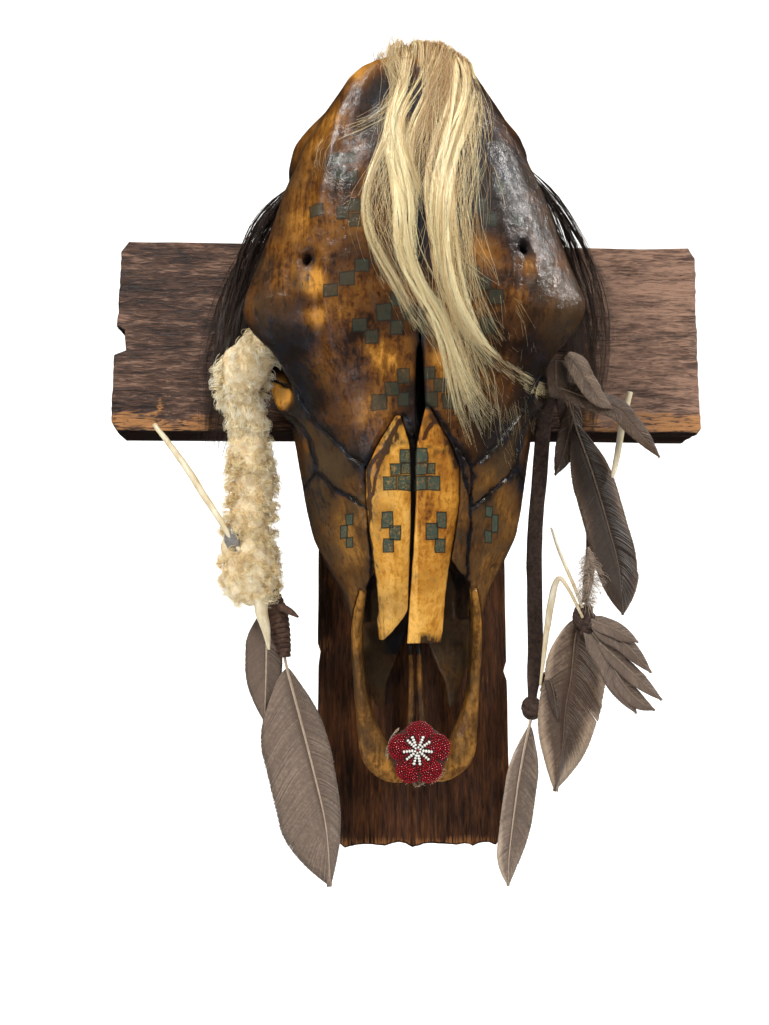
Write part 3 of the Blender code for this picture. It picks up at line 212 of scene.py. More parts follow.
FLEECE_ROUTE = (
    (-99, 130, -12, 14, 12), (-106, 124, -24, 36, 30), (-117, 118, -38, 42, 34),
    (-118, 108, -56, 30, 28), (-113, 103, -78, 26, 26), (-113, 99, -96, 34, 30),
    (-112, 95, -122, 38, 34), (-114, 93, -148, 42, 36), (-113, 92, -170, 48, 38),
    (-111, 90, -187, 40, 30), (-110, 90, -194, 22, 16),
)
HAIR_LEFT_ROUTE = (
    (-76, 132, 92, 10, 8), (-93, 120, 76, 16, 10), (-106, 106, 55, 20, 9), (-117, 92, 34, 20, 8),
    (-122, 87, 12, 22, 7), (-126, 83, -14, 22, 6), (-130, 81, -48, 18, 5), (-136, 80.5, -76, 12, 4),
    (-140, 80, -98, 5, 3),
)
HAIR_RIGHT_ROUTE = (
    (74, 132, 102, 10, 8), (91, 119, 86, 16, 10), (104, 106, 64, 20, 9), (115, 94, 44, 20, 8),
    (124, 88, 18, 22, 7), (127, 85, -4, 22, 6), (129, 82, -30, 19, 5), (130, 80.5, -54, 13, 4),
    (130, 80, -74, 5, 3),
)
HAIR_TIE_LEFT = (-76, 130, 92)
HAIR_TIE_RIGHT = (74, 130, 102)
HAIR_TIE_RADII = (8, 7, 9)
STICK_LEFT = ((-182, 86, -68, 3.4, 3), (-158, 93, -100, 5, 4.4), (-136, 102, -133, 4.6, 4),
              (-118, 106, -160, 3, 3))
QUILL_LEFT = ((-105, 97, -184, 10, 8), (-104, 97, -200, 9, 7), (-101, 96, -213, 6, 5),
              (-99, 95, -226, 1.6, 1.4))
WRAP_LEFT = ((-100, 88, -186, 14, 12), (-96, 86, -200, 19, 13), (-92, 85, -214, 15, 11),
             (-89, 83, -230, 9, 8))
STRAP_KNOT = (85, 70, -268)
STRAP_KNOT_RADII = (8, 7, 9)
THONG_TOP = (104, 104, -36)
THONG_TOP_RADII = (9, 9, 12)
THONG_KNOT = (121, 85, -206)
THONG_KNOT_RADII = (9, 8, 13)
FEATHER_BENT = ((91, 119, -45), (104, 121, -50), (121, 120, -56), (142, 114, -62),
                (152, 110, -71), (163, 106, -82), (174, 100, -93))
FEATHER_BENT_LOBE = ((104, 127, -27), (110, 127, -33), (116, 126, -44), (125, 123, -55),
                     (136, 118, -62))
FEATHER_BENT_FOLD = ((97, 123, -30), (97, 123, -43), (98, 122, -56))
FEATHER_SMALL_DARK = ((112, 96, -44), (115, 93, -59), (112, 91, -74), (108, 90, -89),
                      (102, 89, -104))
FEATHER_LONG = ((111, 96, -52), (117, 93, -71), (122, 92, -85), (130, 90, -108),
                (139, 88, -140), (146, 87, -170), (148, 86, -203))
STICK_RIGHT = ((157, 92, -44, 4, 4), (151, 91, -67, 5, 4.6), (145, 90, -97, 4, 3.6),
               (143, 89.5, -106, 2, 2))
FEATHER_BROAD = ((121, 82, -204), (116, 79, -217), (112, 77, -248), (108, 76, -268),
                 (105, 75, -297), (99, 74, -325))
FEATHER_SPLIT = ((120, 89, -204), (124, 89, -213), (136, 88, -230), (146, 87, -250),
                 (155, 86, -271))
FEATHER_SPLIT_LOBES = (
    ((122, 91, -205), (128, 91, -208), (141, 91, -213), (157, 90, -222)),
    ((124, 91, -209), (132, 91, -214), (149, 90, -224), (166, 88, -243)),
    ((130, 89, -222), (139, 89, -230), (155, 88, -245), (173, 87, -262)),
    ((140, 88, -240), (149, 87, -254), (158, 87, -263), (168, 86, -269)),
)
DOWN_RIGHT = ((124, 88, -156, 6, 5), (124, 92, -168, 20, 9), (122, 93, -182, 22, 10),
              (121, 92, -196, 14, 8))
QUILL_UPPER = ((99, 84, -141, 1.6, 1.4), (104, 86, -158, 2.4, 2.2), (112, 90, -180, 2.6, 2.4),
               (118, 92, -198, 2, 2))
QUILL_LOWER = ((118, 92, -205, 2, 2), (108, 92, -184, 2.6, 2.4), (102, 88, -178, 4, 3),
               (97, 82, -200, 5, 3.4), (90, 77, -252, 1.6, 1.4))
FEATHER_SLIM = ((91, 73, -256), (95, 76, -246), (99, 77, -254), (102, 77, -276))
FEATHER_BOTTOM = ((86, 72, -268), (83, 71, -280), (79, 69, -298), (75, 67, -320),
                  (71, 66, -346), (68, 64, -370), (67, 63, -391))
FEATHER_LEFT_FRONT = ((-90, 84, -222), (-88, 83, -236), (-80, 81, -266), (-68, 78, -312),
                      (-60, 75, -348), (-57, 74, -387))
FEATHER_LEFT_BACK = ((-104, 82, -189), (-102, 80, -209), (-102, 77, -233), (-103, 74, -276))
BLOND_TIE = (5, 179, 132)
BLOND_TIE_RADII = (15, 7, 9)
BLOND_CREST = ((191, 145), (206, 148.5))
WRAP_SPUR = ((-93, 91, -196, 6, 5), (-85, 96, -200, 5, 4), (-79, 99, -204, 1.5, 1.5))


def place(x, depth, z):
    """A place given in millimetres as a vector in metres."""
    return Vector((x * MM, -depth * MM, z * MM))


def places(rows):
    """Rows of (x, depth, z) in millimetres as an array of places in metres."""
    return np.asarray(rows, float) * (MM, -MM, MM)


def placed(name, data):
    """A new object in the scene."""
    made = bpy.data.objects.new(name, data)
    bpy.context.scene.collection.objects.link(made)
    return made


def camera():
    made = placed("camera", bpy.data.cameras.new("camera"))
    right = Vector(CAMERA_RIGHT).normalized()
    ahead = Vector(CAMERA_AHEAD).normalized()
    up = right.cross(ahead)
    turn = Matrix((right, up, -ahead)).transposed().to_4x4()
    turn.translation = Vector(CAMERA_PLACE)
    made.matrix_world = turn
    made.data.sensor_fit = "VERTICAL"
    made.data.sensor_height = SENSOR
    made.data.lens = SENSOR * CAMERA_FOCAL_PIXELS / PHOTO_HEIGHT_PIXELS
    bpy.context.scene.camera = made


def area_light(name, spot, aim, size, power, colour):
    lamp = bpy.data.lights.new(name, "AREA")
    lamp.shape = "RECTANGLE"
    lamp.size, lamp.size_y = size
    lamp.energy = power
    lamp.color = colour
    made = placed(name, lamp)
    made.location = spot
    made.rotation_euler = (Vector(aim) - Vector(spot)).to_track_quat("-Z", "Y").to_euler()


# Small tools for curves, noise and meshes.

def spline(rows, steps):
    """Points of a Catmull-Rom curve through rows of numbers, each row a place on the curve."""
    rows = np.asarray(rows, dtype=float)
    count = len(rows)
    out = []
    for i in range(count - 1):
        a, b = rows[max(i - 1, 0)], rows[i]
        c, d = rows[i + 1], rows[min(i + 2, count - 1)]
        for k in range(steps):
            t = k / steps
            out.append(0.5 * (2 * b + (c - a) * t + (2 * a - 5 * b + 4 * c - d) * t * t
                              + (3 * b - a - 3 * c + d) * t ** 3))
    out.append(rows[-1])
    return np.array(out)


def resample(rows, count):
    """A smooth curve through the rows, read at a number of evenly spaced places."""
    fine = spline(rows, 24)
    steps = np.linalg.norm(np.diff(fine[:, :3], axis=0), axis=1)
    along = np.concatenate([[0], np.cumsum(steps)])
    want = np.linspace(0, along[-1], count)
    return np.stack([np.interp(want, along, fine[:, k]) for k in range(fine.shape[1])], axis=1)


def curve_length(points):
    return float(np.linalg.norm(np.diff(points, axis=0), axis=1).sum())


class Noise:
    """Smooth noise from -1 to 1 on a lattice of seeded values."""

    SIDE = 32

    def __init__(self, seed):
        draw = np.random.default_rng(seed)
        self.values = draw.uniform(-1, 1, (self.SIDE,) * 3)

    def __call__(self, spots, size):
        """Noise at spots in metres, with features of about size millimetres."""
        at = np.asarray(spots, float) / (size * MM)
        low = np.floor(at).astype(int)
        t = at - low
        t = t * t * (3 - 2 * t)
        total = 0.0
        for dx in (0, 1):
            for dy in (0, 1):
                for dz in (0, 1):
                    corner = (low + (dx, dy, dz)) % self.SIDE
                    weight = (np.abs(1 - dx - t[..., 0]) * np.abs(1 - dy - t[..., 1])
                              * np.abs(1 - dz - t[..., 2]))
                    total = total + weight * self.values[corner[..., 0], corner[..., 1],
                                                         corner[..., 2]]
        return total


def falloff(distance, reach):
    """1 at a distance of 0, smoothly down to 0 at the reach."""
    t = np.clip(1 - np.asarray(distance) / reach, 0, 1)
    return t * t * (3 - 2 * t)


def to_segments(spots, line):
    """Distance from each spot to a line of corners, all in the plane of the first two values."""
    line = np.asarray(line, float)
    best = np.full(len(spots), 1e9)
    for a, b in zip(line, line[1:]):
        along = b - a
        t = np.clip((spots - a) @ along / max(along @ along, 1e-9), 0, 1)
        best = np.minimum(best, np.linalg.norm(spots - a - t[:, None] * along, axis=1))
    return best


def new_mesh(name, corners, *face_sets):
    """A smooth-shaded mesh from an array of places and arrays of faces of three or four."""
    face_sets = [np.asarray(faces) for faces in face_sets if len(faces)]
    sizes = np.concatenate([np.full(len(faces), faces.shape[1]) for faces in face_sets])
    loops = np.concatenate([faces.ravel() for faces in face_sets])
    mesh = bpy.data.meshes.new(name)
    mesh.vertices.add(len(corners))
    mesh.vertices.foreach_set("co", np.asarray(corners, np.float32).ravel())
    mesh.loops.add(len(loops))
    mesh.loops.foreach_set("vertex_index", loops.astype(np.int32))
    mesh.polygons.add(len(sizes))
    starts = np.concatenate([[0], np.cumsum(sizes)[:-1]])
    mesh.polygons.foreach_set("loop_start", starts.astype(np.int32))
    mesh.update(calc_edges=True)
    mesh.validate()
    mesh.shade_smooth()
    return mesh


def new_piece(name, mesh, look, slot, node):
    """An object of the part: it rides on the one body and stands for a CAD node."""
    made = placed(name, mesh)
    mesh.materials.clear()
    mesh.materials.append(LOOKS[look])
    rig.ride(made, "root")
    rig.slot(made, slot)
    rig.replaces(made, node)
    return made


def attribute(mesh, name, values):
    layer = mesh.attributes.new(name, "FLOAT", "POINT")
    layer.data.foreach_set("value", np.asarray(values, np.float32))


def read_rows(items, name, width, kind):
    flat = np.empty(len(items) * width, kind)
    items.foreach_get(name, flat)
    return flat.reshape(-1, width)


def corner_array(mesh):
    return read_rows(mesh.vertices, "co", 3, np.float32).astype(float)


def normal_array(mesh):
    return read_rows(mesh.vertex_normals, "vector", 3, np.float32).astype(float)


def edge_array(mesh):
    return read_rows(mesh.edges, "vertices", 2, np.int32)


def set_corners(mesh, corners):
    mesh.vertices.foreach_set("co", np.asarray(corners, np.float32).ravel())
    mesh.update()


def push_out(mesh, push):
    """Moves a mesh's corners out along their normals, each by its own number of millimetres."""
    set_corners(mesh, corner_array(mesh) + normal_array(mesh) * (push * MM)[:, None])


def evaluated(obj):
    bpy.context.view_layer.update()
    graph = bpy.context.evaluated_depsgraph_get()
    return bpy.data.meshes.new_from_object(obj.evaluated_get(graph))


def unit(vectors):
    return vectors / np.maximum(np.linalg.norm(vectors, axis=-1, keepdims=True), 1e-12)


ROOT_PATCH = 0.003


def tube_faces(count, steps, sides):
    """Sides and end caps of closed tubes whose corners are numbered ring by ring."""
    first = np.arange(count)[:, None, None] * steps * sides
    at = first + np.arange(steps - 1)[None, :, None] * sides
    k = np.arange(sides)[None, None, :]
    n = (k + 1) % sides
    quads = np.stack([at + k, at + n, at + sides + n, at + sides + k], axis=-1).reshape(-1, 4)
    starts = np.arange(count)[:, None] * steps * sides
    low_cap = starts + np.arange(sides)[::-1]
    return quads, np.vstack([low_cap, starts + (steps - 1) * sides + np.arange(sides)])


def tubes(name, lines, widths, thicks, facing, sides=3, roots=None, tint=None):
    """Closed tapered strands in one mesh.

    lines is (strands, places, 3) in metres, widths and thicks are (strands, places) in metres,
    facing is the way that each strand's flat side looks, roots is each one's place in OFBake,
    and tint has a value for every place.
    """
    count, steps = lines.shape[:2]
    along = unit(np.gradient(lines, axis=1))
    facing = np.broadcast_to(np.asarray(facing, float), lines.shape)
    across = unit(np.cross(along, facing))
    out = np.cross(across, along)
    turns = 2 * np.pi * (np.arange(sides) + 0.5) / sides
    ring = (np.cos(turns)[:, None] * across[:, :, None] * widths[:, :, None, None] / 2
            + np.sin(turns)[:, None] * out[:, :, None] * thicks[:, :, None, None] / 2)
    corners = (lines[:, :, None] + ring).reshape(-1, 3)
    mesh = new_mesh(name, corners, *tube_faces(count, steps, sides))
    share = np.repeat(np.tile(np.linspace(0, 1, steps), count), sides)
    attribute(mesh, "along", share)
    if roots is not None:
        side = np.tile(np.arange(sides) / max(sides - 1, 1), count * steps)
        bake = np.repeat(np.asarray(roots, float), steps * sides, axis=0)
        add_uv(mesh, bake + np.stack([side - 0.5, share - 0.5], axis=1) * ROOT_PATCH)
    if tint is not None:
        attribute(mesh, "tint", np.repeat(np.asarray(tint).reshape(-1), sides))
    return mesh


def add_uv(mesh, per_corner):
    layer = mesh.uv_layers.new(name="OFBake")
    order = np.empty(len(mesh.loops), np.int32)
    mesh.loops.foreach_get("vertex_index", order)
    layer.data.foreach_set("uv", np.asarray(per_corner, np.float32)[order].ravel())


def to_bmesh(mesh):
    bm = bmesh.new()
    bm.from_mesh(mesh)
    return bm


def from_bmesh(bm, name):
    """A mesh from a bmesh, which is used up."""
    mesh = bpy.data.meshes.new(name)
    bm.to_mesh(mesh)
    bm.free()
    return mesh


def prism(name, rings):
    """A closed block between two rings of places."""
    bm = bmesh.new()
    low, high = [[bm.verts.new(spot) for spot in ring] for ring in rings]
    count = len(low)
    for k in range(count):
        n = (k + 1) % count
        bm.faces.new((low[k], low[n], high[n], high[k]))
    bm.faces.new(low[::-1])
    bm.faces.new(high)
    bmesh.ops.recalc_face_normals(bm, faces=bm.faces)
    return from_bmesh(bm, name)


def joined(name, meshes):
    """Several meshes as one, with their attributes and OFBake kept."""
    bm = bmesh.new()
    for mesh in meshes:
        bm.from_mesh(mesh)
    whole = from_bmesh(bm, name)
    for mesh in meshes:
        bpy.data.meshes.remove(mesh)
    return whole


# Materials.

class Look:
    """A material whose nodes are made by short calls."""

    def __init__(self, name):
        self.material = bpy.data.materials.new(name)
        self.material.use_nodes = True
        self.tree = self.material.node_tree
        self.shader = self.tree.nodes["Principled BSDF"]
        self.spots = self.tree.nodes.new("ShaderNodeTexCoord").outputs["Object"]

    def link(self, value, socket):
        if isinstance(value, bpy.types.NodeSocket):
            self.tree.links.new(value, socket)
        elif socket.type == "RGBA":
            socket.default_value = (*value[:3], 1.0)
        else:
            socket.default_value = value

    def set(self, **values):
        for name, value in values.items():
            self.link(value, self.shader.inputs[name.replace("_", " ")])

    def node(self, kind, out, inputs, **settings):
        """One output of a new node whose inputs are linked or set."""
        node = self.tree.nodes.new("ShaderNode" + kind)
        for key, value in settings.items():
            setattr(node, key, value)
        for key, value in inputs.items():
            self.link(value, node.inputs[key])
        return node.outputs[out]

    def stretch(self, scale):
        """Places stretched along an axis whose scale is small."""
        return self.node("Mapping", "Vector", {"Vector": self.spots, "Scale": scale})

    def noise(self, size, detail=3.0, rough=0.5, distortion=0.0, spots=None):
        """Noise with features of about size millimetres."""
        return self.node("TexNoise", "Fac", {
            "Vector": self.spots if spots is None else spots, "Scale": 1.0 / (size * MM),
            "Detail": detail, "Roughness": rough, "Distortion": distortion})

    def cells(self, size):
        """Distance to the nearest of scattered spots about size millimetres apart."""
        return self.node("TexVoronoi", "Distance", {"Vector": self.spots,
                                                    "Scale": 1.0 / (size * MM)})

    def maths(self, kind, a, b):
        return self.node("Math", 0, {0: a, 1: b}, operation=kind)

    def times(self, a, b):
        return self.maths("MULTIPLY", a, b)

    def total(self, *terms):
        """Sum of (value, weight) pairs."""
        value = self.times(*terms[0])
        for term in terms[1:]:
            value = self.maths("ADD", value, self.times(*term))
        return value

    def spread(self, value, gain, less):
        """The value times a gain, less an amount."""
        return self.maths("SUBTRACT", self.times(value, gain), less)

    def ramp(self, value, *stops):
        """A colour ramp of (position, colour) or (position, grey) stops."""
        node = self.tree.nodes.new("ShaderNodeValToRGB")
        self.link(value, node.inputs["Fac"])
        marks = node.color_ramp.elements
        while len(marks) < len(stops):
            marks.new(0.5)
        for mark, (position, colour) in zip(marks, stops):
            mark.position = position
            grey = isinstance(colour, (int, float))
            mark.color = (colour, colour, colour, 1.0) if grey else (*colour, 1.0)
        return node.outputs["Color"]

    def mix(self, share, a, b):
        return self.node("Mix", 2, {"Factor": share, 6: a, 7: b}, data_type="RGBA")

    def read(self, name):
        return self.node("Attribute", "Fac", {}, attribute_name=name)

    def bump(self, height, depth, strength=1.0, after=None):
        """Bump of a height from 0 to 1 that stands for depth millimetres."""
        inputs = {"Distance": depth * MM, "Strength": strength, "Height": height}
        if after is not None:
            inputs["Normal"] = after
        return self.node("Bump", "Normal", inputs)


def bone_look(name, deep, brown, amber, gold, pores, warm, cool):
    """Stained bone under broken gloss varnish, with the areas that paint_bone gives the mesh."""
    look = Look(name)
    fine = look.noise(4.5, 5, 0.65, 0.8)
    streak = look.noise(3.0, 4, 0.62, 0.3, spots=look.stretch((1, 1, 0.14)))
    tone = look.total((look.noise(24, 4, 0.6, 0.4), 0.36), (fine, 0.28), (streak, 0.36))
    # More golden where the glow attribute is high: mostly the bone's own colour, with painted light on the nasals and
    # down the brow grooves.
    tone = look.maths("ADD", look.spread(tone, 2.0, 0.54), look.times(look.read("glow"), 0.30))
    colour = look.ramp(tone, (0.32, deep), (0.48, brown), (0.66, amber), (0.88, gold))
    tan = look.mix(look.total((fine, 0.5), (streak, 0.5)), (0.022, 0.014, 0.007),
                   (0.125, 0.075, 0.034))
    colour = look.mix(look.read("tan"), colour, tan)
    specks = look.ramp(look.cells(2.3), (0.10, 1.0), (0.26, 0.0))
    specks = look.times(specks, look.ramp(look.noise(9, 2), (0.5, 0.0), (0.66, 1.0)))
    colour = look.mix(look.times(specks, pores), colour, (0.02, 0.012, 0.008))
    # The dark attribute turns the bone blue-black: stain from burning and dark joints, and painted shade in recesses
    # and on surfaces turned away from the front.
    shade = look.read("dark")
    for value, weight in ((fine, 1.2), (streak, 1.8)):
        shade = look.maths("ADD", shade, look.times(look.maths("SUBTRACT", value, 0.5), weight))
    burn_and_painted_shade = look.ramp(shade, (0.15, 0.0), (0.8, 1.0))
    soot_and_shade_colour = look.mix(look.ramp(look.noise(12, 3), (0.42, 0.0), (0.62, 1.0)), warm, cool)
    colour = look.mix(look.times(burn_and_painted_shade, 0.95), colour, soot_and_shade_colour)
    worn = look.ramp(look.noise(1.7, 4, 0.7), (0.28, 0.35), (0.5, 1.0))
    clear = look.mix(look.noise(3.0, 3), (0.030, 0.042, 0.030), (0.080, 0.112, 0.080))
    paint = look.mix(look.ramp(look.read("paint"), (0.86, 0.0), (0.97, 1.0)),
                     (0.034, 0.040, 0.027), clear)
    colour = look.mix(look.times(look.read("paint"), worn), colour, paint)
    colour = look.mix(look.times(look.read("ink"), 0.95), colour, (0.012, 0.014, 0.011))
    look.set(Base_Color=colour, Roughness=look.ramp(fine, (0.3, 0.36), (0.7, 0.56)))
    wet = look.ramp(look.noise(8, 4, 0.65, 0.5), (0.40, 0.15), (0.56, 0.62))
    wet = look.times(wet, look.maths("SUBTRACT", 1.0, look.read("away")))
    look.set(Specular_IOR_Level=0.12, Coat_Weight=wet, Coat_Roughness=0.10, Coat_IOR=1.45)
    ripple = look.bump(look.noise(7, 3, 0.55), 0.8, 0.35)
    look.set(Normal=look.bump(look.noise(1.5, 4, 0.7), 0.16, 0.9, after=ripple))
    skin = look.bump(look.noise(4.0, 4, 0.65, 0.6, spots=look.stretch((0.7, 1, 1))), 0.75, 0.75)
    crackle = look.noise(1.25, 3, 0.7, 0.4, spots=look.stretch((1, 1, 0.6)))
    look.link(look.bump(crackle, 0.2, 1.0, after=skin), look.shader.inputs["Coat Normal"])
    return look.material


def wood_look(name, dark, mid, light, worn, gloss):
    """Rough sawn, stained softwood: short ridges along the grain, pale on top and dark between."""
    look = Look(name)
    level = name == "wood_crossbar"

    def run(size, detail, rough, distortion, level_share, upright_share):
        """Noise drawn out along the grain."""
        scale = (level_share, 1, 1) if level else (1, 1, upright_share)
        return look.noise(size, detail, rough, distortion, spots=look.stretch(scale))

    ridge = run(1.8, 4, 0.6, 1.0, 0.15, 0.10)
    grain = run(7, 5, 0.62, 0.9, 0.10, 0.06)
    flame = run(40, 4, 0.6, 1.4, 0.6, 0.45)
    tone = look.spread(look.total((ridge, 0.5), (grain, 0.30), (flame, 0.26)), 2.2, 0.66)
    # Lighter towards the crossbar's right end and in patches, and darker with painted shade on faces that look down.
    tone = look.maths("ADD", tone, look.times(look.read("tone_and_underside_shade"), 0.25))
    colour = look.ramp(tone, (0.28, dark), (0.52, mid), (0.84, light))
    bared = look.times(look.read("wear"), look.spread(ridge, 5.0, 1.6))
    colour = look.mix(look.ramp(bared, (0.3, 0.0), (0.8, 0.9)), colour,
                      look.mix(ridge, tuple(c * 0.35 for c in worn), worn))
    look.set(Base_Color=colour, Roughness=gloss, Specular_IOR_Level=0.35)
    look.set(Normal=look.bump(ridge, 1.5 if level else 0.7, 0.9))
    return look.material


def hair_look(name, root, body, tip, rough):
    look = Look(name)
    tone = look.total((look.read("tint"), 0.8), (look.read("along"), 0.2))
    look.set(Base_Color=look.ramp(tone, (0.08, root), (0.45, body), (0.9, tip)), Roughness=rough)
    look.set(Specular_IOR_Level=0.55)
    return look.material


def plain_look(name, low, high, size, rough, depth=0.3, stretch=(1, 1, 1)):
    """A mottled surface between two colours with bump at the same scale."""
    look = Look(name)
    spots = look.stretch(stretch)
    tone = look.noise(size, 5, 0.65, 0.5, spots=spots)
    look.set(Base_Color=look.ramp(tone, (0.3, low), (0.72, high)), Roughness=rough)
    look.set(Normal=look.bump(look.noise(size * 0.35, 4, 0.7, spots=spots), depth))
    return look.material


def feather_look(name, dark, body, pale):
    look = Look(name)
    streak = look.noise(2.0, 3, 0.6)
    streak = look.times(look.maths("SUBTRACT", streak, 0.5), 0.35)
    tone = look.maths("ADD", look.read("tint"), streak)
    look.set(Base_Color=look.ramp(tone, (0.05, dark), (0.5, body), (0.95, pale)), Roughness=0.55)
    look.set(Specular_IOR_Level=0.4, Sheen_Weight=0.15, Sheen_Roughness=0.4)
    return look.material


def bead_look(name, colour, depth):
    look = Look(name)
    tone = look.noise(1.4, 2)
    deep = tuple(c * depth for c in colour)
    look.set(Base_Color=look.ramp(tone, (0.35, deep), (0.65, colour)), Roughness=0.12)
    look.set(Coat_Weight=0.6, Coat_Roughness=0.05)
    return look.material


LOOKS = {
    "bone": bone_look("stained_bone", (0.018, 0.008, 0.004), (0.082, 0.029, 0.006),
                      (0.20, 0.078, 0.010), (0.58, 0.26, 0.04), 0.25, (0.009, 0.007, 0.006),
                      (0.010, 0.012, 0.018)),
    "nasal_bone": bone_look("golden_bone", (0.12, 0.040, 0.007), (0.34, 0.125, 0.014),
                            (0.56, 0.25, 0.030), (0.84, 0.46, 0.10), 0.6, (0.050, 0.017, 0.006),
                            (0.018, 0.010, 0.008)),
    "crossbar": wood_look("wood_crossbar", (0.014, 0.007, 0.005), (0.068, 0.031, 0.018),
                          (0.29, 0.165, 0.108), (0.56, 0.25, 0.075), 0.5),
    "upright": wood_look("wood_upright", (0.018, 0.006, 0.002), (0.070, 0.023, 0.006),
                         (0.165, 0.058, 0.014), (0.34, 0.13, 0.035), 0.40),
    "blond": hair_look("blond_strands", (0.36, 0.15, 0.055), (0.72, 0.52, 0.23),
                       (1.0, 0.92, 0.60), 0.36),
    "dark_hair": hair_look("dark_strands", (0.008, 0.005, 0.004), (0.045, 0.026, 0.017),
                           (0.15, 0.085, 0.055), 0.4),
    "fleece": hair_look("fleece_curls", (0.62, 0.36, 0.12), (1.0, 0.82, 0.44),
                        (1.0, 0.98, 0.86), 0.9),
    "wool": plain_look("wool_mat", (0.66, 0.45, 0.20), (1.0, 0.90, 0.66), 5, 0.95, 1.2),
    "hide": plain_look("hide", (0.09, 0.085, 0.08), (0.30, 0.28, 0.26), 4, 0.8),
    "feather": feather_look("taupe_vanes", (0.050, 0.032, 0.023), (0.175, 0.122, 0.090),
                            (0.56, 0.44, 0.33)),
    "dark_vane": feather_look("dark_vanes", (0.020, 0.010, 0.005), (0.088, 0.050, 0.029),
                              (0.44, 0.32, 0.22)),
    "quill": plain_look("pale_quill", (0.55, 0.42, 0.22), (0.86, 0.80, 0.62), 5, 0.42, 0.12,
                        (1, 1, 0.3)),
    "leather": plain_look("dark_suede", (0.014, 0.007, 0.005), (0.085, 0.046, 0.030), 3, 0.85, 0.6),
    "suede": plain_look("brown_suede", (0.030, 0.014, 0.009), (0.13, 0.066, 0.04), 3, 0.88, 0.4),
    "red_beads": bead_look("red_beads", (0.46, 0.014, 0.026), 0.3),
    "white_beads": bead_look("white_beads", (0.88, 0.86, 0.80), 0.85),
    "backing": plain_look("backing_hide", (0.030, 0.008, 0.007), (0.10, 0.03, 0.02), 3, 0.85),
    "fringe": plain_look("fringe_hide", (0.20, 0.13, 0.08), (0.62, 0.50, 0.36), 3, 0.85),
}


# The strap and the thong, which hang free and are declared as cords.

def strap_piece(name, node, route, width, seed):
    """A flat suede strip along its route, with slightly wavy edges."""
    line = places(resample(route, STRIP_STEPS))
    noise = Noise(seed)
    along = unit(np.gradient(line, axis=0))
    across = unit(np.cross(along, np.array((0.22, -1.0, -0.2))))
    out = np.cross(across, along)
    sides = 14
    turns = 2 * np.pi * np.arange(sides) / sides
    flat = np.sign(np.cos(turns)) * np.abs(np.cos(turns)) ** 0.55
    deep = np.sign(np.sin(turns)) * np.abs(np.sin(turns)) ** 0.6
    corners = []
    gathered = np.interp(np.linspace(0, 1, STRIP_STEPS), (0, 0.9, 1), (1, 1, 0.5))
    for k in range(sides):
        edge = noise(line + (0, 0, 0.05 * np.sign(flat[k])), 9)
        reach = width / 2 * gathered * (1 + 0.06 * edge)
        lift = SUEDE_THICK / 2 * (1 + 0.25 * noise(line + (0.03 * flat[k], 0, 0), 6))
        corners.append(line + across * (flat[k] * reach * MM)[:, None]
                       + out * (deep[k] * lift * MM)[:, None])
    corners = np.stack(corners, axis=1).reshape(-1, 3)
    mesh = new_mesh(name, corners, *tube_faces(1, len(line), sides))
    return new_piece(name, mesh, "leather", "leather", node), line


def wound_knot(name, centre, radii, seed, turns, strand):
    """A tight knot: a strip of leather wound round itself in crossing turns."""
    draw = random.Random(seed)
    meshes = []
    for _ in range(turns):
        tilt = Matrix.Rotation(draw.uniform(0, math.pi), 3, "Y") @ Matrix.Rotation(
            draw.uniform(-0.9, 0.9), 3, "X")
        line = []
        for k in range(25):
            turn = 2 * math.pi * k / 22
            spot = tilt @ Vector((math.cos(turn), math.sin(turn), 0.25 * (k / 24 - 0.5)))
            line.append([spot[i] * (radii[i] - strand * 0.36) for i in range(3)])
        line = np.array(line) * MM + np.array(place(*centre))
        size = np.full((1, len(line)), strand * MM)
        facing = line - np.array(place(*centre))
        meshes.append(tubes(name, line[None], size, size * 0.55, facing[None], 8))
    return joined(name, meshes)


# The skull: the CAD bones are fused, made fine and smooth, worked over and parted again.

SKULL_VOXEL = 1.25
THIN_VOXEL = 0.85
FUSE_GROW = 0.25
WELD = 0.000004
SUTURE_GAP = 0.22
OUTLINE_STEP = 1.8
OUTLINE_PAST_SKULL = 110
SUTURE_JAG = 0.9

# Sutures on the right side of the skull's own frame, as (half-width, z) in millimetres.
FRONTAL_OUTLINE = (
    (0.3, 165), (140, 165), (140, -38), (84, -47), (69, -73), (46, -101), (33, -111), (22, -97),
    (10, -79), (2.2, -94), (2.4, -62), (0.3, -30),
)
LACRIMAL_OUTLINE = (
    (95, -46), (84, -47), (69, -73), (46, -101), (33, -111), (33, -136), (53, -121), (67, -107),
    (71, -85), (79, -73), (98, -58),
)
ZYGOMATIC_OUTLINE = (
    (62, 30), (140, 22), (140, -140), (84, -120), (67, -107), (71, -85), (79, -73), (66, -48),
)
MAXILLA_OUTLINE = ((0.15, -62), (140, -62), (140, -300), (0.15, -300))
FRONT_LIMIT = 260.0
# The bones cut out along their sutures: name, outline, depth of the cut at z = 0 and its slope.
CUT_BONES = (
    ("frontal", FRONTAL_OUTLINE, 147.0, 0.08), ("lacrimal", LACRIMAL_OUTLINE, 112.0, 0.0),
    ("zygomatic", ZYGOMATIC_OUTLINE, 60.0, 0.0), ("maxilla", MAXILLA_OUTLINE, 20.0, 0.0),
)

# Open lines along which the sutures show as dark, crumbled grooves: (half-width, z).
SUTURE_LINES = (
    ((96, -40), (84, -47), (69, -73), (46, -101), (33, -111), (22, -97), (10, -79), (2.4, -94)),
    ((33, -111), (33, -136)),
    ((33, -136), (53, -121), (67, -107), (71, -85), (79, -73), (98, -58)),
    ((67, -107), (84, -120)),
    ((10, -79), (17, -90), (27, -110), (33, -136), (33, -152), (31, -180)),
)
MIDLINE = ((0.2, 60), (0.3, -30), (0.3, -96))
SLOT_BACK = 150.0
SLOT_SHAPE = ((0.5, -26), (0.9, -34), (1.6, -46), (2.2, -60), (2.6, -76), (3.0, -97))

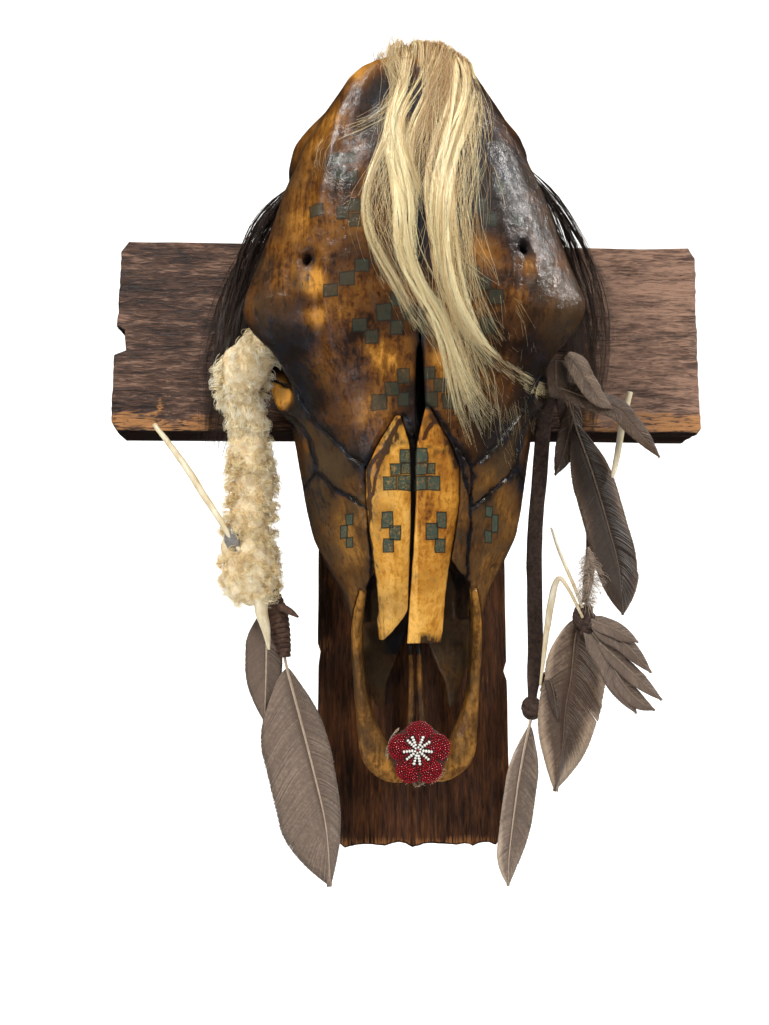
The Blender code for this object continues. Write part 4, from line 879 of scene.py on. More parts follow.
# Painted steps on the skull, in its own frame: (x, z, width, height).
PAINTED = (
    (-50.2, 76.2, 8.2, 7.0), (-41.8, 75.7, 6.8, 6.6), (-48.1, 66.8, 6.2, 7.2),
    (-40.5, 63.1, 6.7, 6.2), (-62.7, 46.2, 8.4, 7.4), (-46.3, 41.6, 7.4, 7.8),
    (-39.2, 45.5, 6.4, 7.6), (-39.4, 36.6, 6.4, 8.0), (37.6, 64.1, 8.0, 7.4),
    (52.0, 58.6, 8.7, 8.4), (38.5, 45.0, 8.4, 8.0), (44.2, 36.7, 8.0, 7.4),
    (63.4, 39.8, 7.5, 6.8), (29.0, 40.2, 7.4, 7.6), (33.0, 53.9, 6.8, 7.0),
    (-35.4, 9.3, 8.6, 7.6), (-44.7, 2.1, 9.2, 8.0), (-54.8, -3.9, 8.6, 7.4),
    (-22.2, -18.4, 9.0, 9.4), (-14.6, -27.4, 7.4, 8.2), (-37.5, -25.0, 8.7, 7.4),
    (-29.9, -32.2, 8.1, 7.8), (-14.6, -11.0, 7.4, 8.0), (-6.9, -19.1, 6.8, 9.0),
    (-26.0, -71.0, 9.4, 9.2), (-18.0, -63.4, 8.6, 8.2), (-10.4, -56.2, 7.5, 8.6),
    (-10.6, -70.6, 6.5, 8.0), (32.7, 4.9, 8.3, 7.4), (39.9, -1.6, 8.3, 7.4),
    (47.6, -9.1, 9.0, 8.2), (42.7, -26.2, 8.9, 8.8), (36.2, -33.6, 6.6, 7.0),
    (12.2, -62.2, 7.8, 8.0), (6.6, -70.2, 7.4, 8.8), (18.4, -71.8, 9.4, 8.6),
    (5.6, -54.8, 6.4, 7.6), (-19.6, -120.5, 8.6, 8.4), (-10.3, -120.5, 8.4, 8.6),
    (-0.2, -120.7, 7.6, 8.6), (8.2, -120.9, 8.0, 8.4), (-16.1, -112.2, 6.6, 6.8),
    (-9.4, -111.9, 6.0, 6.8), (-0.1, -112.1, 7.6, 6.6), (6.6, -112.3, 4.8, 6.4),
    (-9.8, -104.2, 6.8, 8.0), (0.3, -103.9, 8.0, 8.6), (-21.5, -142.8, 6.8, 9.5),
    (-16.6, -150.9, 7.1, 8.8), (-21.0, -158.9, 6.6, 8.2), (13.6, -143.4, 6.2, 9.6),
    (7.0, -150.8, 7.7, 10.0), (12.6, -159.5, 6.9, 8.7), (-45.7, -140.0, 4.7, 6.7),
    (-49.5, -147.1, 4.6, 8.4), (-45.6, -154.3, 4.3, 6.8), (46.9, -136.6, 5.4, 6.8),
    (52.0, -143.5, 5.2, 11.0), (46.8, -152.6, 5.2, 7.8),
)
INK_WIDE = 0.45

# Soft patches on the skull's front: (x, z, reach, strength). The darkening ones are stain from burning together with
# painted shade in the forehead hollow, the holes, the orbits and at the joints; they go blue-black.
BURNT_AND_SHADED = (
    (-18, 118, 20, 0.75), (-26, 104, 18, 0.55), (-6, 100, 20, 0.55), (20, 118, 24, 0.45),
    (-92, -22, 24, 0.45), (-99, 2, 18, 0.2), (-84, -45, 26, 0.8), (-72, -6, 12, 0.55),
    (-70, -28, 12, 0.45), (-76, -60, 22, 0.7), (-62, -66, 12, 0.35), (-36, -60, 14, 0.25),
    (96, -22, 26, 0.2), (88, -42, 26, 0.4), (76, -50, 22, 0.5), (70, -66, 24, 0.55),
    (-52, -84, 16, 0.5), (54, -84, 20, 0.55), (38, -98, 16, 0.5), (-34, -104, 12, 0.6),
    (0, -92, 14, 0.6), (0, -70, 12, 0.35), (34, -80, 14, 0.35), (-72, -128, 22, 0.9),
    (78, -118, 22, 0.6), (-66, -156, 18, 0.75), (66, -150, 16, 0.35), (66, 24, 8, 0.8),
    (-68, 19, 8, 0.8), (-74, 6, 9, 0.6), (-48, 70, 18, 0.35), (60, 92, 34, 0.35), (46, 70, 24, 0.4),
    (56, 62, 20, 0.25), (20, 30, 40, 0.25), (34, 100, 22, 0.4), (44, 46, 22, 0.35),
    (-40, 18, 18, 0.3), (-24, -18, 14, 0.35), (0, -20, 20, 0.4), (0, 20, 24, 0.4),
    (0, 60, 24, 0.35), (74, 4, 20, 0.2),
    (-90, 40, 16, 0.25), (96, 26, 22, 0.15), (-100, 70, 14, 0.35), (100, 66, 18, 0.3),
    (42, -4, 18, 0.2), (58, -20, 20, 0.25), (-10, -70, 13, 0.45),
)
# Patches where the bone is more golden; those down the brow grooves below the holes, at x near -66 and 62 to 70, are a
# painted highlight.
GLOWING = (
    (-66, 2, 10, 1.9), (-66, -18, 10, 1.0), (-64, -44, 12, 0.3), (-56, -12, 14, 0.5),
    (70, 12, 9, 1.1), (66, -6, 10, 0.9), (62, -24, 12, 0.5), (-52, 34, 26, 0.2),
    (-34, -50, 20, 0.4), (-30, -76, 18, 0.6), (-46, -70, 16, 0.3), (16, -46, 11, 1.3),
    (-24, -46, 14, 0.6), (20, -60, 12, 0.8), (34, 18, 16, 0.5),
    (-12, 142, 14, 1.5), (-34, 136, 14, 1.3), (-58, 108, 20, 0.8), (-66, 84, 14, 0.6),
    (-74, 50, 18, 0.4), (60, -140, 22, 0.75), (-48, -146, 20, 0.9), (-42, -168, 16, 0.8),
    (52, -168, 18, 0.8), (44, -190, 20, 0.5), (-42, -194, 20, 0.5), (40, 12, 18, 0.4),
    (50, -110, 14, 0.3),
)
MUTED = (
    (70, 60, 36, 0.5), (84, 30, 30, 0.35), (60, -62, 22, 0.3), (0, 60, 40, 0.4), (56, -30, 22, 0.25),
    (84, -8, 28, 0.4), (-50, -30, 20, 0.4), (40, 80, 30, 0.5), (-24, 60, 20, 0.2),
    (-90, -20, 20, 0.4), (90, -20, 20, 0.3),
)
TANNED = (
    (-58, -100, 20, 0.75), (-72, -112, 14, 0.5), (58, -102, 20, 0.55), (-84, 78, 20, 0.6),
    (-92, 50, 16, 0.45), (-98, 20, 12, 0.5), (-102, 0, 10, 0.4), (88, 74, 18, 0.5), (92, 48, 14, 0.5),
    (98, 8, 16, 0.5), (96, -18, 24, 0.75), (82, 4, 18, 0.45), (-94, -14, 18, 0.6),
    (-40, -130, 9, 0.4), (-26, -140, 8, 0.55), (-22, -196, 16, 0.5),
    (-22, -122, 8, 0.3), (42, -136, 10, 0.35), (-42, -240, 30, 0.45), (42, -240, 30, 0.45),
    (-30, -290, 24, 0.3), (30, -290, 24, 0.3),
)
# Relief of the forehead's left side: a ridge and the hollow beside it.
RIDGE_LEFT = ((-40, 128), (-49, 106), (-57, 70), (-62, 44))
HOLLOW_LEFT = ((-18, 124), (-30, 104), (-40, 82))
# The groove that runs down from the hole over each orbit: (half-width, z).
BROW_GROOVE = ((68, 18), (67, 2), (65, -18), (62, -40))


def to_own(corners):
    """Places in the world as places in the skull's own frame, both in metres."""
    back = np.array(SKULL_FRAME.inverted())
    return corners @ back[:3, :3].T + back[:3, 3]


def to_world(corners):
    ahead = np.array(SKULL_FRAME)
    return corners @ ahead[:3, :3].T + ahead[:3, 3]


def welded(names, grow):
    """CAD nodes in one mesh, each a closed body stood out by a little so that they fuse."""
    whole = bmesh.new()
    for name in names:
        bm = to_bmesh(NODES[name].data)
        bmesh.ops.remove_doubles(bm, verts=bm.verts, dist=WELD)
        bm.normal_update()
        for vert in bm.verts:
            vert.co += vert.normal * grow * MM
        mesh = from_bmesh(bm, name)
        whole.from_mesh(mesh)
        bpy.data.meshes.remove(mesh)
    return from_bmesh(whole, "welded")


def with_modifier(mesh, kind, **settings):
    """The mesh as one modifier leaves it."""
    obj = placed("work", mesh)
    modifier = obj.modifiers.new("work", kind)
    for key, value in settings.items():
        setattr(modifier, key, value)
    made = evaluated(obj)
    bpy.data.objects.remove(obj)
    return made


def soften(mesh, rounds, firm=True):
    """Smooths a dense mesh; a firm one keeps its volume by pushing back each round."""
    corners = corner_array(mesh)
    edges = edge_array(mesh)
    count = len(corners)
    near = np.maximum(np.bincount(edges.ravel(), minlength=count), 1)[:, None]
    for _ in range(rounds):
        for factor in ((0.6, -0.62) if firm else (0.5,)):
            total = np.stack([np.bincount(edges[:, 0], corners[edges[:, 1], k], count)
                              + np.bincount(edges[:, 1], corners[edges[:, 0], k], count)
                              for k in range(3)], axis=1)
            corners += factor * (total / near - corners)
    set_corners(mesh, corners)


def keep_largest(mesh):
    """Drops every loose scrap of a mesh but its largest surface."""
    edges = edge_array(mesh)
    labels = np.arange(len(mesh.vertices))
    while True:
        low = np.minimum(labels[edges[:, 0]], labels[edges[:, 1]])
        fresh = labels.copy()
        np.minimum.at(fresh, edges[:, 0], low)
        np.minimum.at(fresh, edges[:, 1], low)
        fresh = fresh[fresh]
        if (fresh == labels).all():
            break
        labels = fresh
    names, sizes = np.unique(labels, return_counts=True)
    if len(names) == 1:
        return
    drop = labels != names[sizes.argmax()]
    bm = to_bmesh(mesh)
    bm.verts.ensure_lookup_table()
    bmesh.ops.delete(bm, geom=[bm.verts[i] for i in np.flatnonzero(drop)], context="VERTS")
    bm.to_mesh(mesh)
    bm.free()


JAGS = (Noise(31), Noise(32))
JAG_SIZE = 4.5


def jagged(spots):
    """How far a suture strays sideways and in height at the places, from -1 to 1."""
    return np.stack([jag(spots, JAG_SIZE) for jag in JAGS], axis=1)


def suture_prism(outline, low, high, grow, slope, side):
    """A block over a suture's outline, its walls jagged alike on both bones that meet there."""
    corners = np.array([(side * x, z) for x, z in outline], float)
    after = np.roll(corners, -1, axis=0)
    area = (corners[:, 0] * after[:, 1] - after[:, 0] * corners[:, 1]).sum()
    turn = 1 if area > 0 else -1
    ahead = unit(after - corners)
    behind = np.roll(ahead, 1, axis=0)
    normal = (np.stack([behind[:, 1], -behind[:, 0]], 1) + np.stack([ahead[:, 1], -ahead[:, 0]], 1))
    normal *= turn / np.maximum(0.3, (normal ** 2).sum(1, keepdims=True) / 2)
    corners = corners + normal * grow
    fine = []
    for a, b in zip(corners, np.roll(corners, -1, axis=0)):
        seen = min(abs(a[0]), abs(b[0])) < OUTLINE_PAST_SKULL
        steps = max(1, int(np.linalg.norm(b - a) / OUTLINE_STEP)) if seen else 1
        fine += [a + (b - a) * k / steps for k in range(steps)]
    fine = np.array(fine)
    spots = np.stack([fine[:, 0], np.zeros(len(fine)), fine[:, 1]], axis=1) * MM
    calm = np.clip(np.abs(fine[:, 0]) / 6, 0.12, 1)
    fine = fine + jagged(spots) * SUTURE_JAG * calm[:, None]
    x, z = fine.T
    rings = []
    for depth in (low - grow, high + grow):
        back = depth + (slope * z if depth < high else 0 * z)
        rings.append(to_world(places(np.stack([x, back, z], axis=1))))
    return prism("prism", rings)


def boolean(mesh, operand, operation):
    cutter = placed("cutter", operand)
    made = with_modifier(mesh.copy(), "BOOLEAN", operation=operation, solver="MANIFOLD",
                         object=cutter)
    bpy.data.objects.remove(cutter)
    return made


def suture_distance(own):
    """Distance in millimetres from places in the skull's frame to the nearest suture in front."""
    flat = np.stack([np.abs(own[:, 0]), own[:, 2]], axis=1) / MM
    flat = flat + jagged(own * (1, 0, 1)) * SUTURE_JAG
    best = np.full(len(own), 1e9)
    for line in SUTURE_LINES:
        best = np.minimum(best, to_segments(flat, line))
    return best


def fused_skull():
    """The whole skull as one fine, smooth, closed mesh with grooves, hollows and bumps."""
    mesh = with_modifier(welded(SKULL_NODES, FUSE_GROW), "REMESH", mode="VOXEL",
                         voxel_size=SKULL_VOXEL * MM)
    soften(mesh, 6, firm=False)
    soften(mesh, 45)
    keep_largest(mesh)
    own = to_own(corner_array(mesh))
    front = np.clip(-normal_array(mesh)[:, 1] * 1.6, 0, 1)
    seam = suture_distance(own)
    rough = falloff(seam, 5.5)
    push = -1.5 * falloff(seam, 1.9) * front
    push += (0.9 * Noise(41)(own, 3.4) + 0.6 * Noise(42)(own, 1.8)) * rough * front * 0.7
    flat = own[:, (0, 2)] / MM
    push += 1.3 * falloff(to_segments(flat, RIDGE_LEFT), 8) * front
    push -= 2.2 * falloff(to_segments(flat, HOLLOW_LEFT), 15) * front
    push += 0.30 * Noise(43)(own, 15) + 0.16 * Noise(44)(own, 6.5) + 0.07 * Noise(45)(own, 3.2)
    for side in (-1, 1):
        groove = [(side * x, z) for x, z in BROW_GROOVE]
        push -= 1.9 * falloff(to_segments(flat, groove), 9) * front
    push -= 0.8 * falloff(to_segments(flat, MIDLINE), 2.2) * front
    push_out(mesh, push)
    return mesh


def refine_painted(mesh):
    """Splits the faces under the painted squares, so that their edges can be crisp."""
    bm = to_bmesh(mesh)
    centres = np.array([face.calc_center_median() for face in bm.faces])
    own = to_own(centres) / MM
    inside = np.zeros(len(own), bool)
    for x, z, wide, high in PAINTED:
        inside |= ((np.abs(own[:, 0] - x) < wide / 2 + 2) & (np.abs(own[:, 2] - z) < high / 2 + 2))
    bm.faces.ensure_lookup_table()
    chosen = [bm.faces[i] for i in np.flatnonzero(inside) if bm.faces[i].normal.y < -0.15]
    if chosen:
        edges = list({edge for face in chosen for edge in face.edges})
        bmesh.ops.subdivide_edges(bm, edges=edges, cuts=2, use_grid_fill=True)
    bm.to_mesh(mesh)
    bm.free()


def patches(own, rows):
    total = np.zeros(len(own))
    flat = own[:, (0, 2)] / MM
    for x, z, reach, strength in rows:
        total += strength * falloff(np.hypot(flat[:, 0] - x, flat[:, 1] - z), reach * 1.35)
    return total


def painted_steps(own):
    """How far each place is under the paint, and how far on the inked edge of a square."""
    paint = np.zeros(len(own))
    ink = np.zeros(len(own))
    wobble = np.stack([Noise(53)(own, 5), Noise(54)(own, 5)], axis=1) * 0.45
    spots = own[:, (0, 2)] / MM + wobble
    for x, z, wide, high in PAINTED:
        inside = np.minimum(wide / 2 - np.abs(spots[:, 0] - x), high / 2 - np.abs(spots[:, 1] - z))
        strength = 1.0 if z < -100 else 0.85
        paint = np.maximum(paint, np.clip(inside / 0.5 + 0.5, 0, 1) * strength)
        ink = np.maximum(ink, np.clip(1.25 - np.abs(inside) / INK_WIDE, 0, 1) * strength)
    return paint, ink


def paint_bone(mesh, node):
    """Where a bone is dark from burning, at its joints and with painted shade, where it is more golden, partly with
    painted light, and the painted steps with their inked edges.
    """
    nasal = node.startswith("nasal")
    normals = normal_array(mesh)
    own = to_own(corner_array(mesh))
    depth = -own[:, 1] / MM
    flat = own[:, (0, 2)] / MM
    x, z = flat.T
    front = np.clip(-normals[:, 1] * 1.4 - 0.1, 0, 1)
    seam = suture_distance(own) + 0.5 * Noise(55)(own, 2.5)
    patchy = np.clip(0.6 + 0.8 * Noise(56)(own, 9), 0.1, 1.2)
    dark = 1.6 * falloff(seam, 1.5)
    if nasal:
        rough = np.clip((z + 116) / 12, 0, 1)
        dark += rough * (0.15 + 0.5 * Noise(57)(own, 3.0))
        dark += 0.35 * falloff(seam, 2.4) * rough
        # Painted shade: each nasal darker towards its outer edge, as a rounded bone would be, the right one more; the
        # right one is also darker at its lower end.
        outer = np.interp(z, (-222, -214, -180, -152, -136, -110, -90, -79),
                          (24.5, 25, 29, 31, 31, 26, 17, 10))
        dark += np.where(x > 0, 0.75, 0.4) * falloff(outer - np.abs(x), 8)
        dark += 1.2 * falloff(z + 226, 14) * (x > 0)
    else:
        dark += 0.6 * falloff(seam, 8) * patchy
        # Painted shade: the bone seen through the gap between the nasals and behind them is darkened as a shaded
        # recess.
        face = (z < -98) * (z > -230)
        dark += 1.3 * falloff(np.abs(x + 4.6), 24) * face
        band = falloff(np.abs(x), 14) * np.clip((-10 - z) / 25, 0, 1)
        dark += 0.8 * band * patchy * (z > -100)
        # Stain from burning and painted shade of hollows, holes and orbits, weaker further back.
        dark += patches(own, BURNT_AND_SHADED) * np.clip((depth - 95) / 25, 0.2, 1)
        dark += 1.0 * falloff(to_segments(flat, MIDLINE), 2.6) * front
    dark *= 0.35 + 0.65 * front
    # Painted shade: darker where the surface turns away from the front.
    away = 1 - np.clip(-normals[:, 1] * 1.6, 0, 1)
    dark += 0.9 * away
    # Painted shade: the deep, lower middle of the face, behind the nasals, is darkened as a recess.
    inside = falloff(np.abs(x), 38) * (z < -148) * (depth < 108)
    dark += 0.5 * inside * np.clip((z + 235) / 35, 0.35, 1)
    rods = falloff(np.abs(x), 11) * (z < -215)
    dark += 0.35 * rods
    dark -= 0.4 * node.startswith("incisive")
    spot = falloff(np.hypot(x + 90, z + 50), 20) * (depth < 132)
    dark += 0.2 * Noise(51)(own, 22) - 1.5 * spot
    glow = patches(own, GLOWING) - patches(own, MUTED) + 0.35 * Noise(52)(own, 30)
    # Painted light: the left nasal is made lighter and the right one darker; both grow more golden towards their lower
    # ends.
    glow += nasal * (0.4 - 0.3 * np.sign(x + 2)
                     + 0.8 * np.clip((-150 - z) / 50, 0, 1))
    glow += 1.6 * spot + 0.8 * node.startswith("incisive") * (1 - rods)
    base = 0.62 if node.startswith(("maxilla", "lacrimal")) else 0.4 if "incisive" in node else 0.0
    tan = (base + patches(own, TANNED)) * (0.85 + 0.4 * Noise(58)(own, 8)) - spot
    paint, ink = painted_steps(own)
    seen = (normals[:, 1] < -0.15) & (depth > 100)
    for name, values in (("dark", dark), ("glow", glow), ("away", 0.85 * away),
                         ("tan", np.clip(tan, 0, 0.9)), ("paint", paint * seen), ("ink", ink * seen)):
        attribute(mesh, name, values)


def bone_piece(name, mesh, look, slot, node):
    refine_painted(mesh)
    paint_bone(mesh, node)
    mesh.set_sharp_from_angle(angle=SHARP_ANGLE)
    return new_piece(name, mesh, look, slot, node)


def midline_slot():
    """The open gap that runs up between the frontal bones from the tops of the nasals."""
    half = [(wide, z) for wide, z in SLOT_SHAPE]
    outline = half + [(-wide, z) for wide, z in half[::-1]]
    return prism("slot", [to_world(places([(x, depth, z) for x, z in outline]))
                          for depth in (SLOT_BACK, FRONT_LIMIT)])


def take(source, outline, low, slope, side):
    """Cuts a bone out of the skull along its sutures; gives the bone and what is left."""
    keep = suture_prism(outline, low, FRONT_LIMIT, 0.0, slope, side)
    bone = boolean(source, keep, "INTERSECT")
    drop = suture_prism(outline, low, FRONT_LIMIT, SUTURE_GAP, slope, side)
    rest = boolean(source, drop, "DIFFERENCE")
    keep_largest(bone)
    return bone, rest


def make_skull():
    rest = boolean(fused_skull(), midline_slot(), "DIFFERENCE")
    bones = []
    for word, outline, low, slope in CUT_BONES:
        for hand, side in (("left", -1), ("right", 1)):
            node = "%s_%s" % (word, hand)
            bone, rest = take(rest, outline, low, slope, side)
            bones.append(bone_piece("bone_" + node, bone, "bone", "bone", node))
    keep_largest(rest)
    bones.append(bone_piece("bone_cranium", rest, "bone", "bone", "cranium"))
    for word, look, slot in (("nasal", "nasal_bone", "nasal_bone"), ("incisive", "bone", "bone")):
        for hand in ("left", "right"):
            node = "%s_%s" % (word, hand)
            mesh = with_modifier(welded((node,), 0.0), "REMESH", mode="VOXEL",
                                 voxel_size=THIN_VOXEL * MM)
            soften(mesh, 3, firm=False)
            soften(mesh, 22)
            own = to_own(corner_array(mesh))
            push_out(mesh, 0.22 * Noise(46)(own, 9) + 0.10 * Noise(47)(own, 3.5))
            bones.append(bone_piece("bone_" + node, mesh, look, slot, node))
    return bones


# The boards.

CROSSBAR_STEP = (5.0, 3.2, 1.6)
UPRIGHT_STEP = (1.9, 4.0, 5.0)
CROSSBAR_FRONT = 76.3
CROSSBAR_HALF = 0.0712


def make_board(node, name, steps, look):
    """A board cut into a fine grid, with the ridges that its grain leaves."""
    bm = to_bmesh(NODES[node].data)
    bmesh.ops.remove_doubles(bm, verts=bm.verts, dist=WELD)
    low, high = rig.box(node)
    for axis in range(3):
        normal = Vector((axis == 0, axis == 1, axis == 2))
        step = steps[axis] * MM
        for k in range(1, int((high[axis] - low[axis]) / step)):
            spot = Vector(low)
            spot[axis] += k * step
            bmesh.ops.bisect_plane(bm, geom=bm.verts[:] + bm.edges[:] + bm.faces[:], dist=0.000001,
                                   plane_co=spot, plane_no=normal)
    mesh = from_bmesh(bm, name)
    corners = corner_array(mesh)
    normals = normal_array(mesh)
    across = np.array((0.10, 1, 1)) if steps[0] > steps[2] else np.array((1, 1, 0.08))
    push = 0.40 * Noise(61)(corners * across, 3.4) + 0.25 * Noise(62)(corners * across, 7)
    push += 0.35 * Noise(63)(corners, 24)
    x, z = corners[:, 0] / MM, corners[:, 2] / MM
    if node == "board_crossbar":
        bowl = np.hypot(x + 196, (z + 50) / 0.8)
        scoops = np.sin(bowl * 2 * np.pi / 13) * falloff(np.hypot(x + 180, (z + 54) * 1.6), 44)
        push += 0.7 * scoops * (normals[:, 1] < -0.5)
        level = corners * (1, 1, 0)
        edge = z + 67 + 5 * Noise(66)(level, 13) + 2 * Noise(67)(level, 5)
        wear = 1.0 * falloff(edge, 15) * np.clip((x - 110) / 20, 0, 1)
        wear += 0.9 * falloff(edge, 11) * np.clip((-130 - x) / 20, 0, 1)
        wear += 0.75 * np.clip(scoops * 1.5 - 0.5, 0, 1)
        wear *= normals[:, 1] < -0.3
        tone_and_underside_shade = 0.75 * np.clip((x - 95) / 40, 0, 1) + 0.3 * falloff(np.hypot(x - 140, z - 48), 50)
    else:
        wear = 0.7 * falloff(z + 366, 7) + 0.35 * falloff(np.hypot(x + 50, z + 350), 26)
        wear += 0.45 * falloff(np.hypot(x + 62, z + 224), 14)
        wear += 0.4 * falloff(np.hypot(x - 48, z + 250), 24)
        tone_and_underside_shade = 0.5 * falloff(np.hypot(x + 20, (z + 330) * 0.6), 30) - 0.15
    # Painted shade: faces that look down are darkened and lose their pale wear.
    under = np.clip(-normals[:, 2] * 2.5 - 0.5, 0, 1)
    push_out(mesh, push)
    attribute(mesh, "wear", wear * (1 - under) + 0.25 * Noise(64)(corners * across, 10))
    attribute(mesh, "tone_and_underside_shade", tone_and_underside_shade + 0.3 * Noise(65)(corners, 40) - 2.0 * under)
    mesh.shade_smooth()
    mesh.set_sharp_from_angle(angle=SHARP_ANGLE)
    return new_piece(name, mesh, look, "stained_wood", node)


# Plain strands: sticks, quills, windings and knots.

def strand_mesh(name, rows, facing=(0, -1, 0), sides=12, steps=60, rough=0.0):
    """A tapered strand through rows of (x, depth, z, width, thickness) in millimetres."""
    fine = resample(rows, steps)
    line = places(fine[:, :3])
    if rough:
        noise = Noise(5)
        sway = np.stack([noise(line, 8), noise(line + 1.0, 8), 0 * line[:, 0]], 1)
        line = line + sway * rough * MM
    return tubes(name, line[None], fine[None, :, 3] * MM, fine[None, :, 4] * MM,
                 facing, sides)


def winding(name, rows, pitch, strip, thick, lead=0.0, turn_way=1):
    """A strip wound round a tapered strand in a close spiral."""
    fine = resample(rows, 400)
    line = places(fine[:, :3])
    along = unit(np.gradient(line, axis=0))
    side = unit(np.cross(along, np.array((0.1, -1.0, 0.1))))
    front = np.cross(side, along)
    run = np.concatenate([[0], np.cumsum(np.linalg.norm(np.diff(line, axis=0), axis=1))])
    turn = turn_way * 2 * np.pi * run / (pitch * MM) + lead
    out = side * np.cos(turn)[:, None] * fine[:, 3:4] + front * np.sin(turn)[:, None] * fine[:, 4:5]
    path = line + out / 2 * MM
    size = np.full((1, len(path)), strip * MM)
    return tubes(name, path[None], size, size * thick / strip, unit(out)[None], 6)


def make_small_parts():
    """Sticks, quills, wraps and knots."""
    made = {}
    for node, rows, rough in (("stick_left", STICK_LEFT, 0.5), ("stick_right", STICK_RIGHT, 0.4),
                              ("quill_left", QUILL_LEFT, 0.3), ("quill_upper", QUILL_UPPER, 0.2),
                              ("quill_lower", QUILL_LOWER, 0.2)):
        made[node] = new_piece(node + "_horn", strand_mesh(node, rows, rough=rough), "quill",
                               "quill", node)
    core = [(x, depth, z, wide * 0.86, thick * 0.86) for x, depth, z, wide, thick in WRAP_LEFT]
    wraps = [strand_mesh("wrap", core), winding("wrap", core, 3.4, 3.7, 1.5),
             winding("wrap", core, 11, 2.4, 1.3, 1.0, -1),
             strand_mesh("wrap", WRAP_SPUR, sides=8, steps=20)]
    made["wrap_left"] = new_piece("wrap_woven", joined("wrap_woven", wraps), "suede",
                                  "leather", "wrap_left")
    for node, centre, radii, seed in (("strap_knot", STRAP_KNOT, STRAP_KNOT_RADII, 3),
                                      ("thong_knot", THONG_KNOT, THONG_KNOT_RADII, 8),
                                      ("thong_top", THONG_TOP, THONG_TOP_RADII, 21)):
        parts = [wound_knot(node, centre, radii, seed, turns=5, strand=5.2)]
        inner = [(centre[0], centre[1], centre[2] + k * radii[2] * 0.8,
                  radii[0] * (1.7 - 0.9 * abs(k)), radii[1] * (1.7 - 0.9 * abs(k)))
                 for k in (1, 0.5, 0, -0.5, -1)]
        parts.append(strand_mesh(node, inner, sides=10, steps=16))
        made[node] = new_piece(node + "_tied", joined(node, parts), "leather", "leather", node)
    return made


# The rosette.

PETAL_TURNS = (90, 162, 18, 238, 300)
PETAL_REACH = 12.8
PETAL_ROWS = (0.8, 2.45, 4.1, 5.75, 7.4, 9.05)
PETAL_LIFT = 7.2
PETAL_DOME = 0.26
PETAL_APART = 1.1
FLOWER_SHIFT = (1.2, -2.3)
RAY_TURNS = (113, 68, 136, 35, 186, -7, 219, -41, 254, -81)
RAY_PLACES = (3.9, 5.8, 7.7, 9.6)
RAY_LIFT = 8.7
RAY_BEAD = 2.25
RAY_CLEAR = 1.7
MIDDLE_RING = 2.0
BEAD = 1.62
BACKING_SIDES = 90
# The backing's rings, as (lift, scale), and its frayed tufts, as (turn, length, count).
BACKING_RINGS = ((0, 0.9), (3, 1.0), (5.6, 1.0), (6.9, 0.93), (7.0, 0.4))
FRINGE = ((145, 3, 10), (180, 3.5, 8), (0, 3, 8), (-50, 5, 14), (-90, 4, 8))


def rosette_place(across, up, lift):
    """A place on the tilted rosette, lift millimetres in front of its backing's back."""
    x, back, z = ROSETTE_CENTRE
    lean = math.tan(math.radians(ROSETTE_TILT_DEGREES))
    return place(x + across, back + lift + up * lean, z + up)


def bead_mesh(name, rows):
    """Beads as flattened balls; rows are (place, size in mm, way of the thread)."""
    ball = bmesh.new()
    bmesh.ops.create_icosphere(ball, subdivisions=2, radius=0.5)
    shape = np.array([vert.co for vert in ball.verts])
    faces = np.array([[vert.index for vert in face.verts] for face in ball.faces])
    ball.free()
    corners, loops = [], []
    for number, (spot, size, thread) in enumerate(rows):
        turn = np.array(Vector((0, 0, 1)).rotation_difference(thread).to_matrix())
        corners.append((shape * (size, size, size * 0.8) * MM) @ turn.T + np.array(spot))
        loops.append(faces + number * len(shape))
    return new_mesh(name, np.concatenate(corners), np.concatenate(loops))


def ray(reach, turn, middle=(0, 0)):
    """The place (across, up) at a reach from a middle, at a turn in radians."""
    return middle[0] + reach * math.cos(turn), middle[1] + reach * math.sin(turn)


def petal_beads(draw):
    """Red beads in rings on each petal, clear of the other petals and of the white beads."""
    petals = [ray(PETAL_REACH, math.radians(turn), FLOWER_SHIFT) for turn in PETAL_TURNS]
    star = [ray(radius, math.radians(turn)) for turn in RAY_TURNS for radius in RAY_PLACES]
    star += [(0, 0)] + [ray(MIDDLE_RING, k) for k in range(6)]
    beads = []
    for middle in petals:
        for row, radius in enumerate(PETAL_ROWS):
            count = max(4, round(2 * math.pi * radius / BEAD))
            for k in range(count):
                at = 2 * math.pi * (k + 0.3 * row) / count
                spot = ray(radius, at, middle)
                near = min(math.dist(spot, other) for other in petals if other != middle)
                if (math.dist(spot, middle) > near - PETAL_APART
                        or any(math.dist(spot, white) < RAY_CLEAR for white in star)):
                    continue
                lift = PETAL_LIFT + PETAL_DOME * (len(PETAL_ROWS) - row) + draw.uniform(-0.15, 0.15)
                thread = Vector((-math.sin(at), 0, math.cos(at)))
                beads.append((rosette_place(*spot, lift), BEAD * draw.uniform(0.9, 1.06), thread))
    return beads


def star_beads(draw):
    """White beads along the rays and in a ring round the middle."""
    beads = []
    for turn in map(math.radians, RAY_TURNS):
        thread = Vector((math.cos(turn), 0, math.sin(turn)))
        for radius in RAY_PLACES:
            size = RAY_BEAD * draw.uniform(0.92, 1.06)
            beads.append((rosette_place(*ray(radius, turn), RAY_LIFT), size, thread))
    for k in range(6):
        turn = math.radians(60 * k + 20)
        beads.append((rosette_place(*ray(MIDDLE_RING, turn), 8.9), 1.9,
                      Vector((-math.sin(turn), 0, math.cos(turn)))))
    return beads


